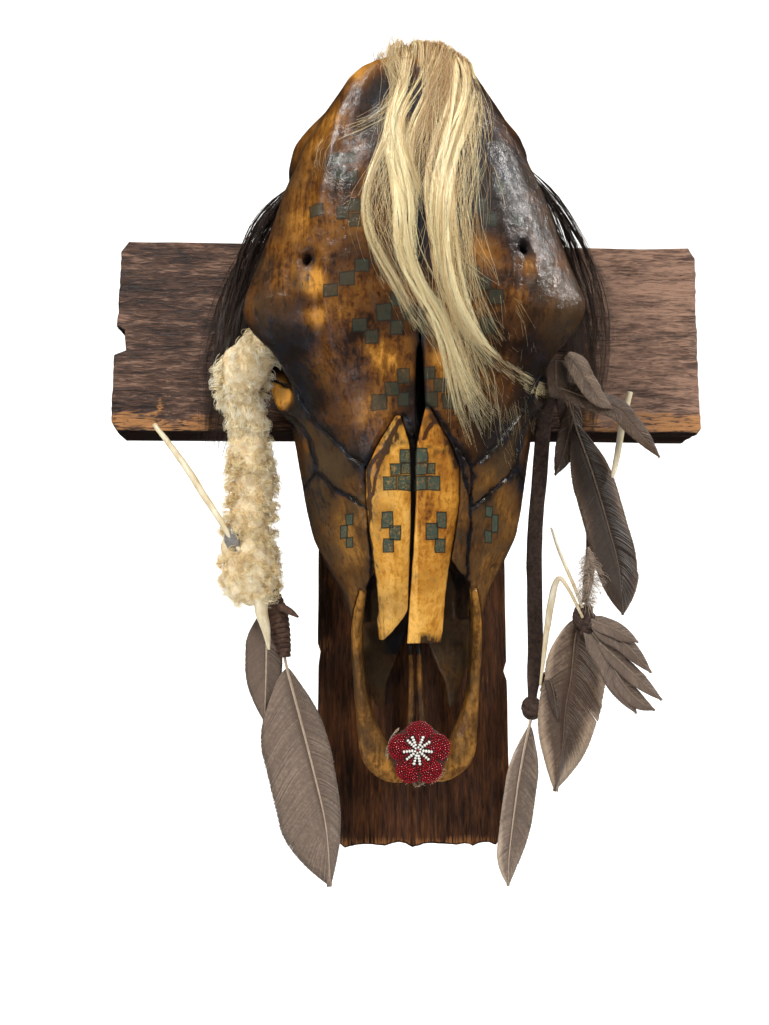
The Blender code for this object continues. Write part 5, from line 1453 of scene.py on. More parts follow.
def rosette_backing():
    """Stiff hide behind the beads, cut round the petals."""
    corners = []
    for lift, scale in BACKING_RINGS:
        for k in range(BACKING_SIDES):
            turn = 2 * math.pi * k / BACKING_SIDES
            lobe = max(max(0, math.cos(turn - math.radians(petal))) ** 9 for petal in PETAL_TURNS)
            reach = (ROSETTE_RADIUS * scale * (0.86 + 0.14 * lobe)
                     * (1 + 0.015 * math.sin(23 * turn)))
            corners.append(rosette_place(*ray(reach, turn, FLOWER_SHIFT), lift))
    k = np.arange(BACKING_SIDES)
    n = (k + 1) % BACKING_SIDES
    at = np.arange(len(BACKING_RINGS) - 1)[:, None] * BACKING_SIDES
    quads = np.stack([at + k, at + BACKING_SIDES + k, at + BACKING_SIDES + n, at + n], -1)
    caps = np.stack([k, len(corners) - BACKING_SIDES + k[::-1]])
    return new_mesh("rosette_backing", np.array(corners), quads.reshape(-1, 4), caps)


def rosette_fringe(draw):
    """Tufts of frayed hide that stick out from under the beads."""
    tufts = []
    for turn, length, count in FRINGE:
        for _ in range(count):
            at = math.radians(turn + draw.uniform(-13, 13))
            rows = []
            for k in range(5):
                reach = ROSETTE_RADIUS * 0.86 + length * draw.uniform(0.9, 1.0) * k / 4
                across, up = ray(reach, at + 0.05 * k * draw.uniform(-1, 1))
                spot = rosette_place(across, up - 0.2 * k * k, 3.4 + draw.uniform(-1.5, 1.5))
                rows.append((spot.x / MM, -spot.y / MM, spot.z / MM, 1.5 - 0.28 * k, 0.9 - 0.16 * k))
            tufts.append(strand_mesh("tuft", rows, sides=4, steps=8))
    return joined("rosette_fringe", tufts)


def make_rosette():
    draw = random.Random("rosette")
    red = petal_beads(draw)
    white = star_beads(draw)
    red.append((rosette_place(0, 0, 9.2), 2.1, Vector((0, 1, 0))))
    for name, mesh, look in (("rosette_red", bead_mesh("rosette_red", red), "red_beads"),
                             ("rosette_white", bead_mesh("rosette_white", white), "white_beads"),
                             ("rosette_backing", rosette_backing(), "backing"),
                             ("rosette_fringe", rosette_fringe(draw), "fringe")):
        new_piece(name, mesh, look, "beads", "rosette")


# Hair: strands that follow a guide in locks.

class Front:
    """The front of some pieces: how deep it is, and a way to lay strands clear of it."""

    STEP = 2.0
    LOW = (-150.0, -260.0)
    SIZE = (151, 211)
    REACH = 0.012

    def __init__(self, pieces):
        corners, faces = [], []
        for piece in pieces:
            start = len(corners)
            corners += [vert.co.copy() for vert in piece.data.vertices]
            faces += [[start + k for k in face.vertices] for face in piece.data.polygons]
        self.tree = BVHTree.FromPolygons(corners, faces)
        depth = np.full(self.SIZE, np.nan)
        for i in range(self.SIZE[0]):
            for k in range(self.SIZE[1]):
                x = self.LOW[0] + i * self.STEP
                z = self.LOW[1] + k * self.STEP
                hit = self.tree.ray_cast(place(x, 400, z), Vector((0, 1, 0)))[0]
                if hit is not None:
                    depth[i, k] = -hit.y / MM
        self.known = ~np.isnan(depth)
        depth = np.where(self.known, depth, 0)
        weight = self.known.astype(float)
        for _ in range(3):
            depth = self.blur(depth)
            weight = self.blur(weight)
        self.map = np.where(weight > 0.05, depth / np.maximum(weight, 0.05), 60.0)

    @staticmethod
    def blur(grid):
        wide = np.pad(grid, 1, mode="edge")
        return (wide[:-2, 1:-1] + wide[2:, 1:-1] + wide[1:-1, :-2] + wide[1:-1, 2:]
                + 2 * wide[1:-1, 1:-1]) / 6

    def depth(self, x, z):
        """Depth in millimetres of the smoothed front at arrays x and z, both in the world."""
        i = np.clip((x - self.LOW[0]) / self.STEP, 0, self.SIZE[0] - 1.001)
        k = np.clip((z - self.LOW[1]) / self.STEP, 0, self.SIZE[1] - 1.001)
        a, b = i.astype(int), k.astype(int)
        s, t = i - a, k - b
        return ((self.map[a, b] * (1 - s) + self.map[a + 1, b] * s) * (1 - t)
                + (self.map[a, b + 1] * (1 - s) + self.map[a + 1, b + 1] * s) * t)

    def clear(self, lines, lift):
        """Moves every place of the strands at least lift millimetres out of the surface."""
        flat = lines.reshape(-1, 3)
        for i, spot in enumerate(flat):
            near, normal = self.tree.find_nearest(Vector(spot), self.REACH)[:2]
            if near is not None and (Vector(spot) - near).dot(normal) < lift * MM:
                flat[i] = np.array(near + normal * (lift * MM))
        return flat.reshape(lines.shape)


def along_guide(guide, t):
    """Rows of the guide read at shares t of its length, of any shape."""
    at = t * (len(guide) - 1)
    return np.stack([np.interp(at, np.arange(len(guide)), guide[:, k])
                     for k in range(guide.shape[1])], axis=-1)


def lock_offsets(draw, count, locks, tight, wander, twist, t):
    """Places of strands across a bundle, from -0.5 to 0.5 each way, gathered in wandering locks."""
    own = draw.integers(0, locks, count)
    lock_u = draw.permutation(locks)[own] / max(locks - 1, 1) - 0.5
    lock_v = draw.uniform(-0.5, 0.5, locks)[own]
    phase = draw.uniform(0, 2 * np.pi, (3, locks))[:, own]
    u = lock_u[:, None] + wander * np.sin(2.2 * np.pi * t + phase[0][:, None])
    u = u + 0.5 * wander * np.sin(5.1 * np.pi * t + phase[1][:, None])
    v = lock_v[:, None] + 0.35 * np.sin(3.0 * np.pi * t + phase[2][:, None])
    radius = np.sqrt(draw.uniform(0, 1, count))[:, None] * tight
    angle = draw.uniform(0, 2 * np.pi, count)[:, None] + twist * 2 * np.pi * t
    return u + radius * np.cos(angle), v + radius * np.sin(angle) * 0.8, own


def moves(seed, spots, size):
    """Smooth noise in three directions at the spots."""
    return np.stack([Noise(seed + k)(spots, size) for k in range(3)], axis=-1)


def frizz(lines, seed, size, reach, t, rise=1.0):
    """Bends strands by smooth noise, more towards their ends."""
    bends = moves(seed, lines * MM + seed * 0.013, size)
    return lines + bends * reach * (0.25 + 0.75 * t[..., None] ** rise)


def relax(spots):
    """Takes the kinks out of strands, with their ends kept."""
    for _ in range(2):
        spots[:, 1:-1] = 0.25 * spots[:, :-2] + 0.5 * spots[:, 1:-1] + 0.25 * spots[:, 2:]


LOCK_A = (
    (5.3, 144, 7.5), (2.5, 134, 7.5), (-3.2, 118, 7), (-11, 102.6, 7), (-16, 89, 7), (-16, 78.5, 7.2),
    (-10.6, 64.3, 7.2), (-6.2, 52.9, 7), (-5, 41.6, 6.8), (-8.4, 29, 6.8), (-8.8, 15.4, 6.5),
    (-3.8, 2, 6.2), (4.2, -9, 6), (11.3, -18, 5.5), (17.2, -28.7, 4.8), (20.8, -39.5, 3.6),
    (23, -51, 3.4), (27, -64, 5.5), (34, -76, 8.5), (44, -87, 12),
)
LOCK_B = (
    (25, 144, 7), (30.5, 134, 7.2), (29.3, 120, 7), (25.4, 104, 7), (20, 89, 6.6), (16.2, 72.8, 6.3),
    (13.8, 57.2, 6), (12.8, 41.6, 5.6), (13.2, 27.7, 5.2), (15, 14, 5), (16.8, 0.7, 5), (20.3, -9, 5),
    (24.3, -20.6, 5.4), (30.4, -30.2, 5), (39.6, -39.8, 4.2), (51, -47.6, 3.4), (62.5, -51.8, 3),
    (80, -54.5, 3.5), (94, -52, 3),
)
LOCK_TOP = (
    (14, 145, 11), (14, 132, 12), (10, 118, 12), (5, 106, 11), (0, 95, 9), (-3, 84, 8), (-4, 70, 7),
    (-2, 56, 6),
)
LOCK_TOP_LEFT = (
    (-14, 141, 7), (-13, 136, 7), (-9, 126, 7), (-8, 114, 6), (-13, 102, 5), (-16, 90, 5),
    (-15, 78, 5),
)
LOCK_MIDDLE = (
    (12, 140, 12), (12, 128, 13), (8, 108, 15), (4, 88, 16), (3, 66, 15), (3, 44, 14), (4, 23, 13),
    (6, 6, 12), (11, -10, 11), (19, -25, 12), (29, -40, 13), (37, -54, 14), (44, -70, 15),
    (50, -84, 16), (54, -95, 14),
)
LOCK_FAN = (
    (22, 140, 4), (27, 120, 5), (24, 104, 5), (18, 84, 5), (14, 60, 4), (12, 40, 4), (13, 20, 4),
    (16, 0, 4), (21, -12, 4), (27, -24, 5), (33, -36, 9), (39, -50, 14), (46, -64, 18), (54, -78, 21),
    (62, -90, 22), (70, -100, 20),
)
LOCK_RIGHT = (
    (32, 140, 4), (35, 124, 5), (35, 104, 7), (33, 84, 9), (30, 62, 9), (28, 40, 8), (28, 20, 8),
    (30, 0, 8), (35, -14, 8), (46, -32, 7), (60, -44, 6),
)
LOCK_LEFT_EDGE = (
    (0, 136, 5), (-6, 118, 5), (-14, 100, 5), (-18, 79, 5), (-24.6, 64, 6), (-26.4, 50, 8),
    (-25.2, 36, 9), (-22.7, 22, 9), (-17.5, 11, 8), (-12, 1, 7), (0, -14, 6), (12, -28, 5),
    (20, -42, 4),
)
LOCK_LOOP = (
    (-2, 132, 3), (-8, 112, 3), (-15, 96, 2.6), (-19, 80, 2), (-30, 66, 1.4), (-35.3, 56, 1.2),
    (-36.4, 44.5, 1.2), (-34.6, 33.4, 1.4), (-31.2, 22, 1.8), (-25.8, 12.7, 2.2), (-19, 6, 2.4),
    (-12, -5, 2.2), (-8, -20, 2), (4, -32, 2), (14, -37, 1.5),
)
LOCK_ARC = (
    (20, 130, 3), (20, 95, 3), (16, 50, 2.5), (20, 20, 2), (33.6, 2, 2.5), (50, 0, 2.5),
    (62, -6, 2.5), (72, -21, 2.5), (73, -36, 2.5), (68, -52, 2.5),
)
LOCK_LOW = (
    (12, 120, 4), (5, 60, 4), (6, 10, 4), (20, -25, 4), (32, -60, 5), (42, -88, 6), (56, -100, 6),
    (74, -107, 5), (86, -107, 4), (100, -98, 3), (108, -86, 3),
)
LOCK_LEFT = (
    (-4, 130, 2), (-20, 104, 2), (-40, 94, 3), (-56, 93, 4), (-62, 82, 4), (-59, 68, 4),
    (-46, 54, 4), (-36, 47, 3),
)
LOCK_UP = (
    (0, 138, 1.5), (-12, 138, 1.2), (-18, 134, 1.2), (-18, 126, 1.2), (-10, 114, 1.2),
)
CREST_DOME = (6.0, 28.0, 12.0)
BLOND_STEPS = 22
GUIDE_STEPS = 200
HAIR_LIFT = 0.5

# The pieces of blond hair: name, strand width, place in OFBake, and the groups of strands, each
# with its seed, its middle and share of the crest, its way, its strands and its other settings.
BLOND_PIECES = (
    ("left", 0.38, 0.05, (
        (101, 1, 17, LOCK_A, 820, dict(locks=18, tight=0.07, wander=0.28, tone=0.70,
                                       ends=(0.45, 1.0), full=0.15, layer=3.6)),)),
    ("right", 0.38, 0.3, (
        (102, 25, 14, LOCK_B, 820, dict(locks=18, tight=0.07, wander=0.28, tone=0.66,
                                        ends=(0.5, 1.0), full=0.2, layer=3.6)),)),
    ("middle", 0.28, 0.55, (
        (103, 14, 22, LOCK_TOP, 420, dict(locks=40, tight=0.05, wander=0.14, ends=(0.35, 1.0),
                                          layer=3, loose=2.2, tone=0.30, full=0.15)),
        (113, -11, 16, LOCK_TOP_LEFT, 130, dict(locks=30, tight=0.05, wander=0.16, ends=(0.4, 1.0),
                                                layer=3, loose=2.0, tone=0.42, full=0.2)),
        (109, 9, 26, LOCK_MIDDLE, 100, dict(locks=50, tight=0.03, wander=0.4, ends=(0.35, 1.0),
                                            layer=2, loose=4.5, tone=0.5, full=0.3)))),
    ("wisps", 0.25, 0.8, (
        (110, 27, 12, LOCK_RIGHT, 110, dict(locks=40, tight=0.04, wander=0.4, ends=(0.3, 1.0),
                                            layer=2, loose=4.0, tone=0.5, full=0.25)),
        (111, 1, 12, LOCK_LEFT_EDGE, 75, dict(locks=40, tight=0.04, wander=0.4, ends=(0.45, 1.0),
                                              layer=2, loose=4.5, tone=0.52, full=0.35)),
        (112, 18, 14, LOCK_FAN, 110, dict(locks=60, tight=0.02, wander=0.3, ends=(0.72, 1.0),
                                          layer=2, loose=4.0, tone=0.52, full=0.2)),
        (104, 0, 8, LOCK_LOOP, 80, dict(locks=4, tight=0.3, ends=(0.8, 1), layer=2, tone=0.62)),
        (105, 20, 8, LOCK_ARC, 7, dict(locks=3, tight=0.3, ends=(0.8, 1), layer=2)),
        (106, 12, 8, LOCK_LOW, 14, dict(locks=12, tight=0.3, ends=(0.6, 1), layer=2, loose=2)),
        (107, 0, 6, LOCK_LEFT, 16, dict(locks=8, tight=0.3, ends=(0.5, 1), layer=3, loose=3)),
        (108, 0, 6, LOCK_UP, 6, dict(locks=3, tight=0.4, ends=(0.8, 1), layer=4)))),
)


def blond_lines(front, seed, middle, share, way, strands, locks, tight, ends, layer,
                wander=0.10, loose=0.6, tone=0.5, full=0.6):
    """Strands from the tie behind the poll, over the crest and down the face along a guide."""
    draw = np.random.default_rng(seed)
    tie = (BLOND_TIE[0] + (middle - BLOND_TIE[0]) * 0.35, BLOND_TIE[1], BLOND_TIE[2], share * 0.55)
    rows = [tie] + [(middle, depth + 0.5, z + 0.5, share) for depth, z in BLOND_CREST]
    flat = np.array(way, float)
    rows += [(x, depth, z, wide * 2) for (x, z, wide), depth in
             zip(way, front.depth(flat[:, 0], flat[:, 1]) + 1.0)]
    guide = resample(np.array(rows), GUIDE_STEPS)
    on_front = np.arange(GUIDE_STEPS) > np.argmax(guide[:, 2])
    facing = np.where(on_front, np.clip((146 - guide[:, 2]) / 7, 0, 1), 0)
    guide = np.column_stack([guide, facing])
    end = draw.uniform(*ends, strands)
    end = np.where(draw.random(strands) < full, np.maximum(end, 0.93), end)
    t = np.linspace(0, 1, BLOND_STEPS)[None, :] ** 1.4 * end[:, None]
    u, v, own = lock_offsets(draw, strands, locks, tight, wander, 0.8, t)
    line_x, line_depth, line_z, wide, turned = np.moveaxis(along_guide(guide, t), -1, 0)
    ahead = (along_guide(guide, np.minimum(t + 0.01, 1))
             - along_guide(guide, np.maximum(t - 0.01, 0)))
    slope = unit(ahead[..., (0, 2)])
    x = line_x + u * wide * (1 - turned - slope[..., 1] * turned)
    z = line_z + u * wide * slope[..., 0] * turned
    where, reach, rise = CREST_DOME
    z = z + (2.8 - rise * np.clip(((x - where) / reach) ** 2, 0, 1.4)) * (1 - turned) * np.clip(
        t * 9, 0, 1)
    lines = np.stack([x, line_depth, z], axis=-1)
    lines = frizz(lines, seed, 24, 2.6, t, 0.7)
    lines = frizz(lines, seed + 7, 9, 0.8, t, 0.5)
    apart = draw.uniform(0, 60, (strands, 1, 3))
    stray = loose * 2.2 * np.where(draw.random(strands) < 0.12, 3.0, 1.0)[:, None, None]
    drift = moves(seed, (lines + apart) * MM * (1, 0.2, 1), 26)
    lines = lines + drift * stray * np.clip(t * 3 - 0.4, 0, 1)[..., None]
    spots = to_world(places(lines))
    face = front.depth(spots[..., 0] / MM, spots[..., 2] / MM)
    round_off = 1 - 3.2 * np.clip(u, -0.5, 0.5) ** 2
    height = HAIR_LIFT + layer * np.clip(0.5 + v, 0, 1.2) * round_off * (1 - 0.4 * t)
    depth = (face + height) * turned + (lines[..., 1] + height) * (1 - turned)
    spots[..., 1] = -depth * MM
    spots[..., 2] += height * (1 - turned) * 0.25 * MM
    spots = front.clear(spots, HAIR_LIFT)
    relax(spots)
    tint = tone + 0.22 * draw.standard_normal(strands) + 0.14 * np.sin(own * 2.4)
    tint = tint[:, None] - 0.34 * np.clip(1 - t / 0.2, 0, 1)
    return spots, np.clip(tint, 0.03, 1), draw


def hair_piece(name, groups, width, look, slot, node, root_patch):
    """A piece of hair from groups of strands with the same number of places."""
    lines = np.concatenate([spots for spots, _, _ in groups])
    tint = np.concatenate([tint for _, tint, _ in groups])
    draw = groups[0][2]
    count, steps = lines.shape[:2]
    wide = width * draw.uniform(0.75, 1.25, count)[:, None]
    taper = np.interp(np.linspace(0, 1, steps), (0, 0.05, 0.6, 1), (0.8, 1, 0.85, 0.22))[None, :]
    sizes = wide * taper * MM
    low, size = np.array(root_patch[:2]), np.array(root_patch[2:])
    roots = low + draw.uniform(0, 1, (count, 2)) * size
    mesh = tubes(name, lines, sizes, sizes * 0.8, (0.1, -1.0, 0.15), 3, roots, tint)
    return new_piece(name, mesh, look, slot, node)


def make_blond_hair(front):
    for name, width, column, rows in BLOND_PIECES:
        groups = [blond_lines(front, *row, **settings) for *row, settings in rows]
        hair_piece("blond_" + name, groups, width, "blond", "blond_hair", "hair_blond",
                   (column, 0.1, 0.15, 0.1))
    knot = wound_knot("blond_tie", BLOND_TIE, BLOND_TIE_RADII, 14, turns=5, strand=5)
    new_piece("blond_tie_band", knot, "leather", "leather", "hair_blond")


HANK_STRANDS = 400
HANK_STEPS = 16


def make_dark_hair(front, side, route, tie, node, seed):
    """A hank tied behind the brow that fans out over the crossbar."""
    draw = np.random.default_rng(seed)
    guide = resample(np.array(((*tie, 6, 5),) + route[1:], float), 120)
    strands, steps = HANK_STRANDS, HANK_STEPS
    end = np.where(draw.random(strands) < 0.45, draw.uniform(0.86, 1.0, strands),
                   draw.uniform(0.55, 0.95, strands))
    t = np.linspace(0, 1, steps)[None, :] * end[:, None]
    u, v, _ = lock_offsets(draw, strands, 26, 0.05, 0.12, 0.5, t)
    line_x, line_depth, line_z, wide, thick = np.moveaxis(along_guide(guide, t), -1, 0)
    spread = 1 + 0.55 * np.clip(t * 2, 0, 1)
    x = line_x + side * (u + 0.06) * wide * spread
    lines = np.stack([x, line_depth + v * thick * 1.2, line_z], axis=-1)
    lines = frizz(lines, seed, 30, 3.4, t)
    lines = frizz(lines, seed + 5, 9, 1.3, t)
    stray = draw.uniform(0, 1, (strands, 1)) ** 4 * draw.choice((-1, 1), (strands, 1))
    lines[..., 0] += stray * 9 * t
    lines[..., 2] += 4 * np.abs(stray) * t
    spots = places(lines)
    clear = CROSSBAR_FRONT + 1.3
    over = (np.abs(spots[..., 2]) < CROSSBAR_HALF) & (spots[..., 1] > -clear * MM)
    spots[..., 1] = np.where(over, -(clear + 2.0 * (0.5 + v)) * MM, spots[..., 1])
    spots = front.clear(spots, HAIR_LIFT)
    relax(spots)
    tint = np.clip(0.35 + 0.2 * draw.standard_normal((strands, 1)), 0.05, 1) + np.zeros((1, steps))
    hair_piece(node + "_strands", [(spots, tint, draw)], 0.36, "dark_hair", "dark_hair", node,
               (0.1 if side < 0 else 0.5, 0.3, 0.3, 0.1))
    knot = wound_knot(node + "_tie", tie, HAIR_TIE_RADII, seed, turns=4, strand=4)
    new_piece(node + "_band", knot, "leather", "dark_hair", node)


# The fleece: curled tufts on a strip of hide.

WOOL_TUFTS = 190
WOOL_FIBRES = 19
WOOL_WIDTH = 0.30
WOOL_TAPER = (1, 1, 0.95, 0.8, 0.35)
WOOL_FACING = (0.1, -1.0, 0.2)
# The fleece's pieces, with the shares of its length that each one covers.
WOOL_PIECES = (("flap", 0.0, 0.32), ("neck", 0.28, 0.54), ("curls", 0.5, 0.78), ("roll", 0.74, 1.0))
BARE_PATCH = (
    (-128, 101, -143, 3, 2), (-126, 104, -147, 9, 3), (-124, 105, -152, 12, 3),
    (-123, 104, -158, 8, 3), (-122, 102, -161, 2, 2),
)


def fleece_mat():
    """A lumpy mat of wool over the hide."""
    core = [(x, depth, z, wide * 0.78, thick * 0.78) for x, depth, z, wide, thick in FLEECE_ROUTE]
    mat = strand_mesh("wool", core, sides=40, steps=150)
    corners = corner_array(mat)
    bare = falloff(np.hypot(corners[:, 0] / MM + 124, corners[:, 2] / MM + 152), 11)
    bare = bare * (normal_array(mat)[:, 1] < 0.2)
    push_out(mat, 3.4 * Noise(71)(corners, 11) + 1.4 * Noise(73)(corners, 5) - 3.0 * bare)
    return mat


def wool_tuft(draw, guide, s):
    """Fibres, tones and turn of a tuft at a share s of the fleece, or None on the bare patch."""
    turn = draw.uniform(-np.pi, np.pi)
    x, depth, z, wide, thick = along_guide(guide, np.array(s))
    out = np.array((math.sin(turn), math.cos(turn), 0.0))
    side = np.array((math.cos(turn), -math.sin(turn), 0.0))
    root = np.array((x + out[0] * wide * 0.37, depth + out[1] * thick * 0.37, z))
    if math.hypot(root[0] + 125, z + 152) < 7.5 and out[1] > -0.3:
        return None
    t = np.linspace(0, 1, len(WOOL_TAPER))
    combed = float(np.clip((z + 96) / 24, 0, 1))
    narrow = falloff(abs(z + 72), 26)
    reach = (4.2 + 1.2 * combed - 1.2 * narrow) * draw.uniform(0.6, 1.3)
    fall = (2.0 + 2.5 * combed) * draw.uniform(0.2, 1.4)
    fall *= -0.8 if z < -180 and draw.random() < 0.6 else 1.0
    path = out * (reach * np.sin(t * np.pi * 0.58))[:, None]
    path = path - UP * (fall * t ** 1.3)[:, None]
    path = path + side * (draw.uniform(-3, 3) * t)[:, None]
    spread = draw.standard_normal((WOOL_FIBRES, 1, 3)) * (2.3, 1.6, 2.3) * (1 - 0.7 * t[:, None])
    radius = (1.1 - 0.7 * combed) * draw.uniform(0.4, 1.1)
    spin = draw.uniform(0, 2 * np.pi) + 1.5 * np.pi * t + draw.uniform(-0.5, 0.5, (WOOL_FIBRES, 1))
    curl = radius * np.clip(t * 2, 0, 1)
    tuft = root + path * draw.uniform(0.75, 1.2, (WOOL_FIBRES, 1, 1)) + spread
    tuft = tuft + side * (curl * np.cos(spin))[..., None]
    tuft = tuft + UP * (curl * np.sin(spin))[..., None]
    tone = 0.50 + 0.28 * combed + 0.08 * (z < -172) + 0.10 * draw.standard_normal()
    # Painted shade: fibres darker towards their roots, deep in the fleece.
    tones = tone + 0.10 * draw.standard_normal((WOOL_FIBRES, 1)) - 0.20 * (1 - t) ** 1.5
    return tuft, tones, turn


def make_fleece():
    """The mat under a thick coat of curled fibres, with a patch of bare hide."""
    new_piece("fleece_mat", fleece_mat(), "wool", "fleece", "fleece")
    patch = strand_mesh("bare", BARE_PATCH, (-0.5, -1, 0), 12, 20)
    new_piece("fleece_bare", patch, "hide", "fleece", "fleece")
    draw = np.random.default_rng(72)
    guide = resample(FLEECE_ROUTE, 120)
    for number, (word, low_s, high_s) in enumerate(WOOL_PIECES):
        lines, tones, roots = [], [], []
        while len(lines) < WOOL_TUFTS:
            s = draw.uniform(low_s, high_s)
            made = wool_tuft(draw, guide, s)
            if made is None:
                continue
            lines.append(made[0])
            tones.append(made[1])
            roots.append((0.1 + 0.12 * s + 0.15 * number, 0.5 + 0.1 * (made[2] / np.pi)))
        lines = places(np.concatenate(lines))
        tones = np.clip(np.concatenate(tones), 0.03, 1)
        sizes = WOOL_WIDTH * draw.uniform(0.7, 1.3, (len(lines), 1)) * np.array(WOOL_TAPER) * MM
        mesh = tubes("fleece_" + word, lines, sizes, sizes * 0.85, WOOL_FACING, 3,
                     np.repeat(np.array(roots), WOOL_FIBRES, axis=0), tones)
        new_piece("fleece_" + word, mesh, "fleece", "fleece", "fleece")


# Feathers: barbs that lie side by side on either side of a shaft.

BARB_PITCH = 0.62
BARB_CAMBER = 0.12
SHAFT_STEPS = 70
SHAFT_SIDES = 10
DOWN_STRANDS = 560
DOWN_STEPS = 10
DOWN_WIDTH = 0.34

def barbs(seed, spine, left, right, facing, root, start=0.12, narrows=(0.6, 0.6), point=2.0,
          tint=0.45, slits=6, pale_edges=(0.0, 0.0)):
    """The vane of one feather as groups of flat strands, with the same shape as the part's."""
    draw = np.random.default_rng(seed)
    rows = spline(spine, 12)
    fine = resample(rows, 200)
    line = places(fine)
    length = curve_length(line) / MM
    face = unit(np.array(facing, float))
    along = unit(np.gradient(line, axis=0))
    across = unit(np.cross(face, along))
    out = np.cross(along, across)
    noise = Noise(seed + 3)
    paths, ways, tints, roots = [], [], [], []
    q = np.linspace(0, 1, 7)
    for hand, side, bend, pale in ((-1, left, narrows[0], pale_edges[0]),
                                   (1, right, narrows[1], pale_edges[1])):
        count = int(length * (1 - start) / BARB_PITCH)
        begin = np.linspace(start - 0.02, 0.985, count)
        group = np.cumsum(draw.random(count) < slits / count)
        groups = group.max() + 2
        shift = draw.uniform(-1, 1, groups)
        short = np.where(draw.random(groups) < 0.2, draw.uniform(0.92, 0.99, groups), 1)
        for i, t0 in enumerate(begin):
            reach = min(1.0, side / length * 0.95)
            t1 = min(t0 + reach * (0.9 + 0.03 * shift[group[i]]), 1.0)
            grow = math.sin(math.pi / 2 * min(1.0, max(0.0, (t1 - start) / 0.3))) ** 0.8
            close = 1 - max(0.0, (t1 - bend) / (1 - bend)) ** point
            width = max(side * grow * close, 0.8) * short[group[i]] * draw.uniform(0.985, 1.01)
            if t1 >= 1.0:
                width = max(0.6, side * (1 - t0) * 0.5)
            t = t0 + (t1 - t0) * q ** 1.25
            spot = along_guide(line, t)
            reach_side = hand * width * q ** 0.88
            ripple = 0.6 * noise(spot + 0.01 * hand, 16) * q + 0.25 * shift[group[i]] * q
            lift = -BARB_CAMBER * np.abs(reach_side) + ripple + 0.05 * draw.uniform(-1, 1)
            spot = spot + along_guide(across, t) * (reach_side * MM)[:, None]
            spot = spot + along_guide(out, t) * (lift * MM)[:, None]
            paths.append(spot)
            ways.append(along_guide(out, t))
            tone = tint + 0.05 * shift[group[i]] + 0.035 * draw.standard_normal()
            margin = 0.62 + 0.12 * math.sin(9 * t0 + seed) + 0.05 * math.sin(23 * t0)
            tints.append(tone + pale * np.clip((q - margin) / 0.3, 0, 1)
                         - 0.10 * np.clip(1 - q / 0.3, 0, 1))
            roots.append((root[0] + 0.05 * t0, root[1] + 0.012 * hand))
    lines = np.array(paths)
    apart = np.linalg.norm(np.diff(lines, axis=0, append=lines[-2:-1]), axis=-1)
    wide = 1.9 * np.clip(apart, 0.8 * BARB_PITCH * MM, 2.6 * BARB_PITCH * MM) * np.interp(
        q, (0, 0.2, 0.85, 1), (0.9, 1, 0.95, 0.7))
    return tubes("vane", lines, wide, wide * 0.2, ways, 3, roots, tints)


def shaft_mesh(spine, facing, shaft, tint, root):
    """The feather's shaft: a slightly flat quill, whose furrow is a darker stripe of painted shade."""
    t = np.linspace(0, 1, SHAFT_STEPS)
    line = places(resample(spine, SHAFT_STEPS))
    sizes = (shaft * (1 - 0.78 * t))[None] * MM
    mesh = tubes("shaft", line[None], sizes, sizes * 0.9, facing, SHAFT_SIDES, [root])
    k = np.tile(np.arange(SHAFT_SIDES), SHAFT_STEPS)
    # Painted shade: one side of the shaft darker, for its furrow.
    attribute(mesh, "tint", tint + np.where(k == 2, -0.25, 0.0))
    return mesh


# The feathers: look, and for each vane its spine, its left and right width, the way it faces and
# its other settings.
FEATHERS = {
    "feather_left_front": ("feather", (FEATHER_LEFT_FRONT, 31, 15, (0.1, -1, 0.1), dict(
        narrows=(0.72, 0.5), slits=7, tint=0.53))),
    "feather_left_back": ("feather", (FEATHER_LEFT_BACK, 16, 11, (-0.2, -1, 0), dict(
        narrows=(0.55, 0.55), tint=0.42))),
    "feather_bent": (
        "dark_vane", (FEATHER_BENT, 9, 10, (0.2, -1, 0.35), dict(start=-0.05, tint=0.5)),
        (FEATHER_BENT_LOBE, 9, 12, (0.3, -1, 0.5), dict(start=-0.05, tint=0.6)),
        (FEATHER_BENT_FOLD, 7, 9, (0.3, -1, 0.2), dict(start=-0.05, narrows=(0.9, 0.9)))),
    "feather_small_dark": ("dark_vane", (FEATHER_SMALL_DARK, 8, 9, (0.3, -1, 0), dict(tint=0.3))),
    "feather_long": ("dark_vane", (FEATHER_LONG, 17, 17, (0.15, -1, 0.05), dict(
        narrows=(0.7, 0.7), point=2.6, tint=0.12, slits=4, pale_edges=(0.4, 0.5)))),
    "feather_broad": ("dark_vane", (FEATHER_BROAD, 19, 27, (0.1, -1, 0), dict(
        start=0.02, narrows=(0.6, 0.5), point=1.8, tint=0.5, slits=6, pale_edges=(0.45, 0.45)))),
    "feather_split": (
        "feather", (FEATHER_SPLIT, 12, 8, (0.2, -1, 0.1), dict(start=0.05)),
        *((lobe, 7, 6, (0.2, -1, 0.2), dict(start=0.0, narrows=(0.5, 0.5), slits=4))
          for lobe in FEATHER_SPLIT_LOBES)),
    "feather_slim": ("dark_vane", (FEATHER_SLIM, 5, 4, (0.3, -1, 0), dict(tint=0.3, slits=3))),
    "feather_bottom": ("feather", (FEATHER_BOTTOM, 9, 14, (0.1, -1, 0.1), dict(
        narrows=(0.8, 0.6), tint=0.5, pale_edges=(0.35, 0.1)))),
}


